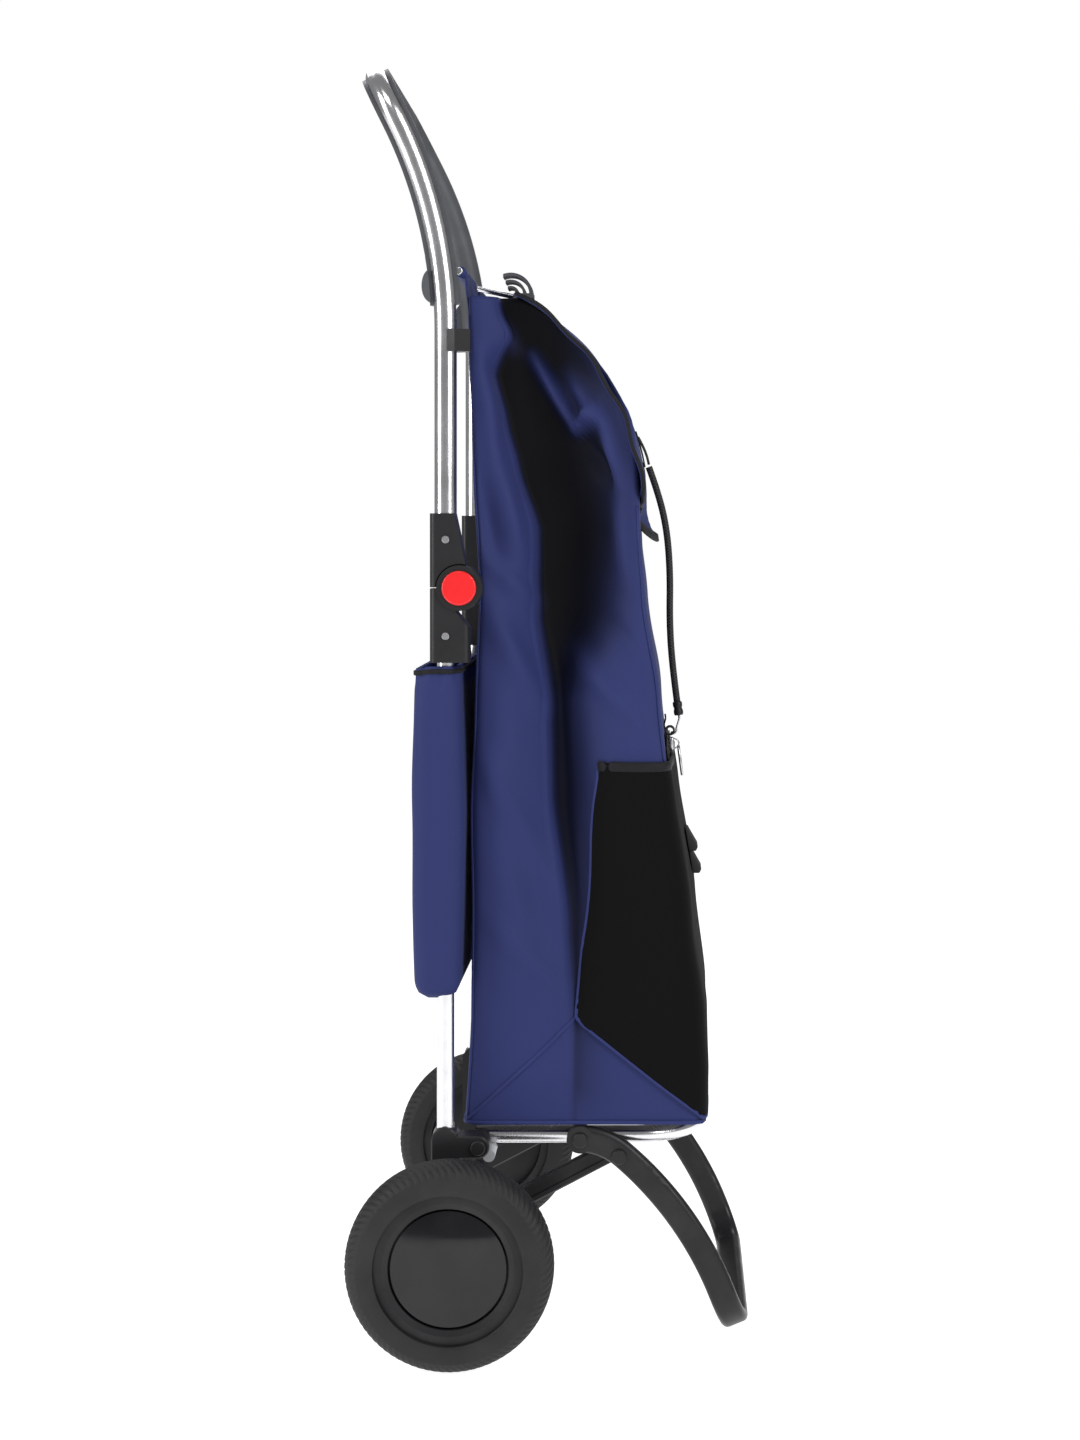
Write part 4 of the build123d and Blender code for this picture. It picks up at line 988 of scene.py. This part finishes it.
# seams of the bag
for name, side in (("Right", -1), ("Left", 1)):
    lines = {
        "rearSeam": [(side * 1.0, 0.18 + i * 0.0134) for i in range(50)],
        "frontSeam": [(side * 3.0, 0.47 + i * 0.0105) for i in range(21)],
        "baseSeamRear": [(side * (1 + i / 24), 0.18 + (0.2625 - 0.18) * i / 24) for i in range(25)],
        "baseSeamFront": [(side * (3 - i / 24), 0.182 + (0.2625 - 0.182) * i / 24) for i in range(25)],
    }
    for label, places in lines.items():
        points, normals = bagLine(places, 0.0004)
        seams.append(tapeAlong(label + name, points, normals, 0.0030, 0.0014, "blue_fabric"))
baseRing = [(t / 12, 0.1785) for t in range(-47, 48)]
points, normals = bagLine(baseRing, 0.0002)
seams.append(tapeAlong("baseWelt", points, normals, 0.0036, 0.0030, "blue_fabric"))
print("pocket and seams made")

# zip along the top of the pocket
zipSet = {"middle": 0.475, "half": 0.110, "tape": 0.0125, "pitch": 0.0016, "tooth": (0.0011, 0.0011, 0.0036)}


def zipPlace(y, out):
    turn = (4 - abs(y) / bag["half"]) * (1 if y >= 0 else -1)
    return bagPoint(turn, zipSet["middle"], out, False)[0]


def makeZip():
    ys = [zipSet["half"] * (i / 30 - 1) for i in range(61)]
    points = [zipPlace(y, 0.0012) for y in ys]
    normals = [Vector((1, 0, 0.13)).normalized()] * len(points)
    tape = tapeAlong("zipTape", points, normals, zipSet["tape"], 0.0014, "strap_black")
    bm = bmesh.new()
    count = int(2 * zipSet["half"] / zipSet["pitch"])
    for number in range(count):
        y = -zipSet["half"] + (number + 0.5) * zipSet["pitch"]
        tooth = bmesh.ops.create_cube(bm, size=1.0)
        wide, proud, tall = zipSet["tooth"]
        bmesh.ops.scale(bm, vec=(proud, wide, tall), verts=tooth["verts"])
        side = 0.0008 if number % 2 else -0.0008
        bmesh.ops.translate(bm, vec=zipPlace(y, 0.0024) + Vector((0, 0, side)), verts=tooth["verts"])
    teeth = finishMesh(bm, "zipTeeth", "frame", finishes["black_plastic"], smooth=False)
    return tape, teeth


zipTapePiece, zipTeethPiece = makeZip()
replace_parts(zipTapePiece, "zip_tape")
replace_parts(zipTeethPiece, "zip_tape")


# A small block with rounded edges.
def blockPiece(name, body, slotName, centre, size, bevel, segments=3):
    bm = bmesh.new()
    made = bmesh.ops.create_cube(bm, size=1.0)
    bmesh.ops.scale(bm, vec=size, verts=made["verts"])
    bmesh.ops.bevel(
        bm, geom=bm.edges[:], offset=bevel, segments=segments, profile=0.5, affect="EDGES", material=-1
    )
    bmesh.ops.translate(bm, vec=centre, verts=bm.verts[:])
    return finishMesh(bm, name, body, finishes[slotName])


sliderLow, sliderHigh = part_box("zip_slider")
ringLow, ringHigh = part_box("zip_ring")
sliderCentre = (sliderLow + sliderHigh) / 2
sliderSet = {"ahead": 0.0028, "size": (0.0050, 0.0090, 0.0112), "bevel": 0.0016}
sliderPlace = (sliderLow.x + sliderSet["ahead"], 0, sliderCentre.z)
sliderBody = blockPiece("zipSlider", "zip_slider", "zinc", sliderPlace, sliderSet["size"], sliderSet["bevel"])
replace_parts(sliderBody, "zip_slider")
bridgePath = [
    Vector((sliderLow.x + 0.004 + 0.0058 * math.sin(a), 0, sliderCentre.z - 0.0045 * math.cos(a)))
    for a in (i * math.pi / 10 for i in range(11))
]
bridge = finishMesh(
    sweep(bridgePath, roundSection(0.0016, 0.0007, 8)), "zipBridge", "zip_slider", finishes["zinc"]
)
ringTop = Vector((sliderLow.x + 0.0092, 0, ringHigh.z - 0.001))
ringLean = (ringHigh.x - ringLow.x - 0.0018) / (ringHigh.z - ringLow.z)
ringPath = []
for number in range(33):
    a = number * 2 * math.pi / 32
    wide = 0.0054 * (1 + 0.12 * math.cos(a))
    tall = 0.0125 * (1 - math.cos(a))
    ringPath.append(ringTop + Vector((ringLean * tall, wide * math.sin(a), -tall)))
pull = finishMesh(
    sweep(ringPath, roundSection(0.0013, 0.0010, 8), Vector((1, 0, 0.1)), caps=False),
    "zipPull", "zip_slider", finishes["zinc"],
)
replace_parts(pull, "zip_ring")
zipPieces = [zipTapePiece, zipTeethPiece, sliderBody, bridge, pull]
print("zip made")

# strap from the lid's tab to the pocket
strapPiece = finishMesh(
    sweep(strapLine, roundSection(strapSet["radius"], strapSet["radius"] * 0.94, 14)),
    "lidStrap", "lid", finishes["strap_black"],
)
# the fitting at the strap's lower end, pinched at its middle and its ends
ferruleSet = {"radius": 0.0041, "length": 0.0118, "waist": 0.16, "ends": 0.14}
strapEnd = Vector(strapPoints[-1])
strapWay = (strapEnd - Vector(strapPoints[-2])).normalized()
ferrulePath = [strapEnd + strapWay * (ferruleSet["length"] * i / 12 + 0.0001) for i in range(13)]
ferrule = sweep(ferrulePath, roundSection(ferruleSet["radius"], ferruleSet["radius"], 16))
for vert in ferrule.verts:
    travel = (vert.co - strapEnd).dot(strapWay)
    down = travel / ferruleSet["length"]
    pinch = 1 - ferruleSet["waist"] * math.exp(-(((down - 0.5) / 0.12) ** 2))
    pinch -= ferruleSet["ends"] * max(0.0, abs(down - 0.5) * 2 - 0.8) / 0.2
    middle = strapEnd + strapWay * travel
    vert.co = middle + (vert.co - middle) * pinch
hookPiece = finishMesh(ferrule, "strapFerrule", "lid", finishes["black_plastic"])
anchorLow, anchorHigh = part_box("strap_anchor")
anchorCentre = Vector((anchorHigh.x - 0.0044, 0, (anchorLow.z + anchorHigh.z) / 2))
clipStart = ferrulePath[-1]
clipPath = [clipStart + strapWay * (0.004 * i / 4) for i in range(-1, 4)]
clipLow = anchorCentre + Vector((0.0035, 0, 0))
clipPath += [clipPath[-1].lerp(clipLow + Vector((0.0022, 0, 0.002)), i / 3) for i in range(1, 4)]
clipPath += [
    clipLow + Vector((0.0024 * math.cos(a) - 0.0002, 0, 0.0028 * math.sin(a)))
    for a in (math.radians(20 - 22 * i) for i in range(9))
]
strapClip = finishMesh(
    sweep(clipPath, roundSection(0.0018, 0.0010, 10)), "strapClip", "lid", finishes["zinc"]
)
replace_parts(strapPiece, "strap")
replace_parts(hookPiece, "strap_hook")


# A flat band across the trolley, its width along Y.
def bandPiece(name, body, slotName, path, halfWidth, wall):
    section = flatSection(halfWidth, wall / 2, 0.92)
    return finishMesh(sweep(path, section), name, body, finishes[slotName])


# the black tab that the strap leaves, and the patch it is sewn to
tab = {"from": 0.745, "run": 0.118, "rise": 0.0034, "half": 0.0078, "wall": 0.0022}
patch = {"from": 0.72, "run": 0.15, "half": 0.011, "wall": 0.0014}
tabPath = []
for number in range(17):
    share = tab["from"] + tab["run"] * number / 16
    centre, normal = lidCurve(share)
    rise = 0.0016 + tab["rise"] * math.sin(math.pi / 2 * number / 16)
    tabPath.append(Vector((axleX + centre.x, 0, centre.z)) + normal * rise)
lidTab = bandPiece("lidTab", "lid", "strap_black", tabPath, tab["half"], tab["wall"])
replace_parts(lidTab, "lid_tab")
tabBase = []
for number in range(13):
    share = patch["from"] + patch["run"] * number / 12
    centre, normal = lidCurve(share)
    tabBase.append(Vector((axleX + centre.x, 0, centre.z)) + normal * 0.0012)
tabPatch = bandPiece("lidTabPatch", "lid", "binding", tabBase, patch["half"], patch["wall"])

ringPath = [
    anchorCentre + Vector((math.cos(a), 0, math.sin(a))) * 0.0035 for a in (i * math.pi / 12 for i in range(25))
]
anchorRing = bandPiece("strapRing", "frame", "black_plastic", ringPath, 0.0036, 0.0018)
anchorTape = bandPiece(
    "strapRingTape",
    "frame",
    "binding",
    [anchorCentre + Vector((-0.0044 + 0.0006 * math.cos(i), 0, -0.014 + 0.002 * i)) for i in range(15)],
    0.0044,
    0.0014,
)
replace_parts(anchorRing, "strap_anchor")


# Two soft tabs, one over the other, on the pocket's front.
def makeWedges():
    low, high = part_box("wedge_tabs")
    middle = (low.z + high.z) / 2
    rise = (high.z - low.z) * 0.49
    tall = pocket["top"] - pocket["bottom"]
    bm = bmesh.new()
    for top in (high.z, middle + 0.0002):
        base = pocketPoint(1e-6, (top - pocket["bottom"]) / tall)[0].x + 0.0006
        foot = pocketPoint(1e-6, (top - rise - pocket["bottom"]) / tall)[0].x + 0.0006
        heel = top - rise
        outline = (
            (base, top),
            (base + 0.0022, top),
            (foot + 0.0078, heel + 0.0035),
            (foot + 0.006, heel),
            (foot, heel),
        )
        verts = [bm.verts.new((x, -0.016, z)) for x, z in outline]
        face = bm.faces.new(verts)
        grown = bmesh.ops.extrude_face_region(bm, geom=[face])
        moved = [g for g in grown["geom"] if isinstance(g, bmesh.types.BMVert)]
        bmesh.ops.translate(bm, vec=(0, 0.032, 0), verts=moved)
    bmesh.ops.recalc_face_normals(bm, faces=bm.faces[:])
    bmesh.ops.bevel(bm, geom=bm.edges[:], offset=0.0007, segments=2, profile=0.5, affect="EDGES", material=-1)
    piece = finishMesh(bm, "wedgeTabs", "frame", finishes["foot_rubber"])
    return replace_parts(piece, "wedge_tabs")


wedgePiece = makeWedges()

# hem that carries the bag on its cross rod
rodLow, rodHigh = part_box("bag_rod")
rodCentre = (rodLow + rodHigh) / 2
rodHem = {"start": 0.0125, "run": 0.1035, "radius": 0.0049, "puff": 0.0007}
rodSkirt = {"start": 0.013, "run": 0.102, "drop": 0.034, "wall": 0.0014, "wave": 0.0012}
for name, side in (("Right", -1), ("Left", 1)):
    spots = [side * (rodHem["start"] + rodHem["run"] * i / 40) for i in range(41)]
    path = [Vector((rodCentre.x, spot, rodCentre.z)) for spot in spots]
    bm = sweep(path, roundSection(rodHem["radius"], rodHem["radius"], 18), Vector((1, 0, 0)))
    for vert in bm.verts:
        puff = rodHem["puff"] * noise.noise(Vector((vert.co.y * 60, vert.co.z * 40, side)))
        out = Vector((vert.co.x - rodCentre.x, 0, vert.co.z - rodCentre.z))
        vert.co += out.normalized() * puff if out.length > 1e-6 else Vector()
        if vert.co.z < rodCentre.z - 0.002:
            vert.co.x += (rodCentre.z - vert.co.z) * 0.5
    hem = finishMesh(bm, "rodHem" + name, "frame", finishes["blue_fabric"])
    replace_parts(hem, "rod_hem")
    bm = bmesh.new()
    bmesh.ops.create_grid(bm, x_segments=50, y_segments=12, size=0.5, calc_uvs=True)
    uvLayer = bm.loops.layers.uv.verify()
    for vert in bm.verts:
        y = side * (rodSkirt["start"] + (vert.co.x + 0.5) * rodSkirt["run"])
        down = 0.5 - vert.co.y
        wave = rodSkirt["wave"] * noise.noise(Vector((y * 45, down * 2, 9))) * math.sin(math.pi * down)
        vert.co = (axleX + 0.0062 + 0.0035 * down + wave, y, rodCentre.z - 0.002 - rodSkirt["drop"] * down)
    for face in bm.faces:
        for loop in face.loops:
            loop[uvLayer].uv = (loop.vert.co.y, loop.vert.co.z)
    skirt = finishMesh(bm, "rodSkirt" + name, "frame", finishes["blue_fabric"])
    solidify(skirt, rodSkirt["wall"], 0.0)
print("hem made")


# pocket behind the tubes
sleeve = {"wall": 0.0016, "columns": 260, "lines": 60, "corner": 0.012, "gathers": 46, "gatherDepth": 0.0016}
sleeveLow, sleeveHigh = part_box("rear_pocket")
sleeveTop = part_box("pocket_elastic")[1].z


# A point of a rounded rectangle, turn 0 to 1 round it, with its outward direction.
def loopPoint(turn, halfX, halfY, corner):
    straightX, straightY = halfX - corner, halfY - corner
    arc = math.pi / 2 * corner
    spans = [straightY, arc, 2 * straightX, arc, 2 * straightY, arc, 2 * straightX, arc, straightY]
    far = turn * sum(spans)
    corners = ((1, 1, 0), (-1, 1, 90), (-1, -1, 180), (1, -1, 270))
    place, heading = Vector((halfX, 0, 0)), 90.0
    for number, span in enumerate(spans):
        used = min(far, span)
        if number % 2 == 0:
            way = math.radians(heading)
            place = place + Vector((math.cos(way), math.sin(way), 0)) * used
            normal = Vector((math.sin(way), -math.cos(way), 0))
        else:
            sx, sy, start = corners[number // 2]
            centre = Vector((sx * straightX, sy * straightY, 0))
            way = math.radians(start + 90 * used / span)
            normal = Vector((math.cos(way), math.sin(way), 0))
            place = centre + normal * corner
            heading = start + 90 * used / span + 90
        far -= used
        if far <= 1e-9:
            break
    return place, normal


def sleevePoint(turn, share, out=0.0):
    centre = Vector(((sleeveLow.x + sleeveHigh.x) / 2, 0, 0))
    halfX, halfY = (sleeveHigh.x - sleeveLow.x) / 2, (sleeveHigh.y - sleeveLow.y) / 2
    place, normal = loopPoint(turn, halfX, halfY, sleeve["corner"])
    top = max(0.0, (share - 0.93) / 0.07)
    bottomCurve = max(0.0, 1 - share / 0.055)
    inset = 0.010 * (1 - math.sqrt(max(0.0, 1 - bottomCurve**2)))
    rear = max(0.0, -normal.x)
    belly = 0.0030 * math.sin(math.pi * share) * (0.4 + 0.6 * abs(normal.x))
    gather = sleeve["gatherDepth"] * math.sin(turn * sleeve["gathers"] * 2 * math.pi) * top
    ripple = 0.0016 * noise.noise(Vector((place.x * 30, place.y * 16, share * 4))) * math.sin(math.pi * share)
    slant = 0.006 * rear * top
    lift = out + belly + gather + ripple - inset - 0.0012 * top
    height = sleeveLow.z + (sleeveTop - 0.001 - sleeveLow.z) * share - slant * 0.4
    return centre + place + normal * lift + Vector((0, 0, height)), normal


def makeSleeve():
    bm = bmesh.new()
    columns, lines = sleeve["columns"], sleeve["lines"]
    bmesh.ops.create_grid(bm, x_segments=columns, y_segments=lines, size=0.5, calc_uvs=True)
    uvLayer = bm.loops.layers.uv.verify()
    flat = {}
    for vert in bm.verts:
        turn, share = vert.co.x + 0.5, vert.co.y + 0.5
        place, _ = sleevePoint(turn if turn < 0.9999 else 0.0, share)
        flat[vert] = (turn * 0.68, place.z)
        vert.co = place
    for face in bm.faces:
        for loop in face.loops:
            loop[uvLayer].uv = flat[loop.vert]
    bmesh.ops.remove_doubles(bm, verts=bm.verts[:], dist=0.00002)
    lowest = min(v.co.z for v in bm.verts)
    rim = [e for e in bm.edges if e.is_boundary and max(v.co.z for v in e.verts) < lowest + 0.004]
    bmesh.ops.triangle_fill(bm, use_beauty=True, use_dissolve=False, edges=rim)
    bmesh.ops.recalc_face_normals(bm, faces=bm.faces[:])
    piece = finishMesh(bm, "rearPocket", "frame", finishes["blue_fabric"])
    solidify(piece, sleeve["wall"])
    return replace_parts(piece, "rear_pocket")


def makeElastic():
    points, ups = [], []
    for number in range(521):
        place, normal = sleevePoint(number / 520 if number < 520 else 0.0, 0.985, 0.0006)
        points.append(place)
        ups.append(Vector((0, 0, 1)))
    section = flatSection(0.0020, 0.0012, 0.75)
    bm = sweep(points, section, ups, caps=False)
    piece = finishMesh(bm, "pocketElastic", "frame", finishes["binding"])
    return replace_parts(piece, "pocket_elastic")


makeSleeve()
makeElastic()
print("rear pocket made")

clothPieces = [shellPiece, lidPiece, bindingPiece, netPiece, *seams, *zipPieces]
strapPieces = [strapPiece, hookPiece, strapClip, lidTab, tabPatch, anchorRing, anchorTape, wedgePiece]
for piece in clothPieces + strapPieces:
    squashWithFold(piece)

# clips between the bag and the tubes
tubeClip = {
    "grip": 0.0092,  # hugs the tube's front
    "outer": 0.0120,
    "open": 78,  # degrees to each side of straight ahead
    "block": (0.0200, 0.0058),
}


# Two black clips that hold the bag's top to the tubes, each open at the back.
def makeTubeClips():
    low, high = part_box("bag_clips")
    mesh = bmesh.new()
    for side in (-1, 1):
        centre = Vector((axleX - 0.0075, side * 0.140, low[2]))
        turns = [math.radians(tubeClip["open"] * (1 - i / 8)) for i in range(17)]
        outline = [(tubeClip["grip"] * math.cos(t), tubeClip["grip"] * math.sin(t)) for t in turns]
        outer = [(tubeClip["outer"] * math.cos(t), tubeClip["outer"] * math.sin(t)) for t in turns]
        ahead, half = tubeClip["block"]
        outline += [outer[-1], outer[-4], (ahead, -half), (ahead, half), outer[3], outer[0]]
        face = mesh.faces.new([mesh.verts.new(centre + Vector((x, y, 0))) for x, y in outline])
        raised = bmesh.ops.extrude_face_region(mesh, geom=[face])
        top = [v for v in raised["geom"] if isinstance(v, bmesh.types.BMVert)]
        bmesh.ops.translate(mesh, verts=top, vec=(0, 0, high[2] - low[2]))
    bmesh.ops.recalc_face_normals(mesh, faces=mesh.faces)
    return finishMesh(mesh, "tubeClips", "frame", finishes["black_plastic"], False)


tubeClips = makeTubeClips()
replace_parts(tubeClips, "bag_clips")

# tyres
tyre = {
    "half": 0.0185,
    "ringRadius": 0.0648,
    "ringDepth": 0.0177,
    "bore": 0.0588,
    "chevrons": 84,
    "around": 672,
    "section": 56,
    "shoulder": 0.0735,
    "groove": 0.0013,
    "slant": 0.0075,
}


# A point of a tyre: angle round the wheel and roll round its section, 0 at the tread's middle.
def tyrePoint(angle, roll, centre):
    power = 0.78
    across = tyre["half"] * math.copysign(abs(math.sin(roll)) ** power, math.sin(roll))
    out = tyre["ringRadius"] + tyre["ringDepth"] * math.copysign(abs(math.cos(roll)) ** power, math.cos(roll))
    out = max(out, tyre["bore"])
    edge = min(1.0, max(0.0, (out - tyre["shoulder"]) / 0.0012))
    if edge > 0:
        phase = (angle / (2 * math.pi) * tyre["chevrons"] + abs(across) / tyre["slant"]) % 1.0
        cut = min(1.0, max(0.0, (abs(phase - 0.5) - 0.27) * 9))
        out -= tyre["groove"] * cut * edge
    if out > tyre["ringRadius"]:
        ridge = 0.0005 * math.exp(-(((out - tyre["shoulder"] + 0.0012) / 0.0006) ** 2))
        across += math.copysign(ridge, across)
    return centre + Vector((out * math.cos(angle), across, out * math.sin(angle)))


def makeTyre(name, node, body):
    low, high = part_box(node)
    centre = (low + high) / 2
    bm = bmesh.new()
    bmesh.ops.create_grid(bm, x_segments=tyre["around"], y_segments=tyre["section"], size=0.5)
    for vert in bm.verts:
        vert.co = tyrePoint((vert.co.x + 0.5) * 2 * math.pi, vert.co.y * 2 * math.pi, centre)
    bmesh.ops.remove_doubles(bm, verts=bm.verts[:], dist=0.00002)
    bmesh.ops.recalc_face_normals(bm, faces=bm.faces[:])
    piece = finishMesh(bm, name, body, finishes["tyre_rubber"])
    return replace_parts(piece, node)


makeTyre("tyreRight", "tyre_right", "wheel_right")
makeTyre("tyreLeft", "tyre_left", "wheel_left")
print("tyres made")

# floor
floorSet = {
    "half": 6.0,
    "under": 0.0005,
    "glow": 0.93,
    "tones": ((0.40, 0.40, 0.405), (0.43, 0.43, 0.43)),
}


def makeFloor():
    bm = bmesh.new()
    bmesh.ops.create_grid(bm, x_segments=4, y_segments=4, size=floorSet["half"])
    mesh = bpy.data.meshes.new("floor")
    bm.to_mesh(mesh)
    bm.free()
    floor = bpy.data.objects.new("floor", mesh)
    bpy.context.scene.collection.objects.link(floor)
    floor.location.z = cadLow.z - floorSet["under"]
    material, tree, shader = newMaterial("paleFloor", (0.42, 0.42, 0.425), 0.6)
    shader.inputs["Emission Color"].default_value = (1, 1, 1, 1)
    shader.inputs["Emission Strength"].default_value = floorSet["glow"]
    slow = noiseOf(tree, objectVector(tree), 2.0, 2.0)
    tree.links.new(blendColours(tree, slow, *floorSet["tones"]), shader.inputs["Base Color"])
    mesh.materials.append(material)


makeFloor()
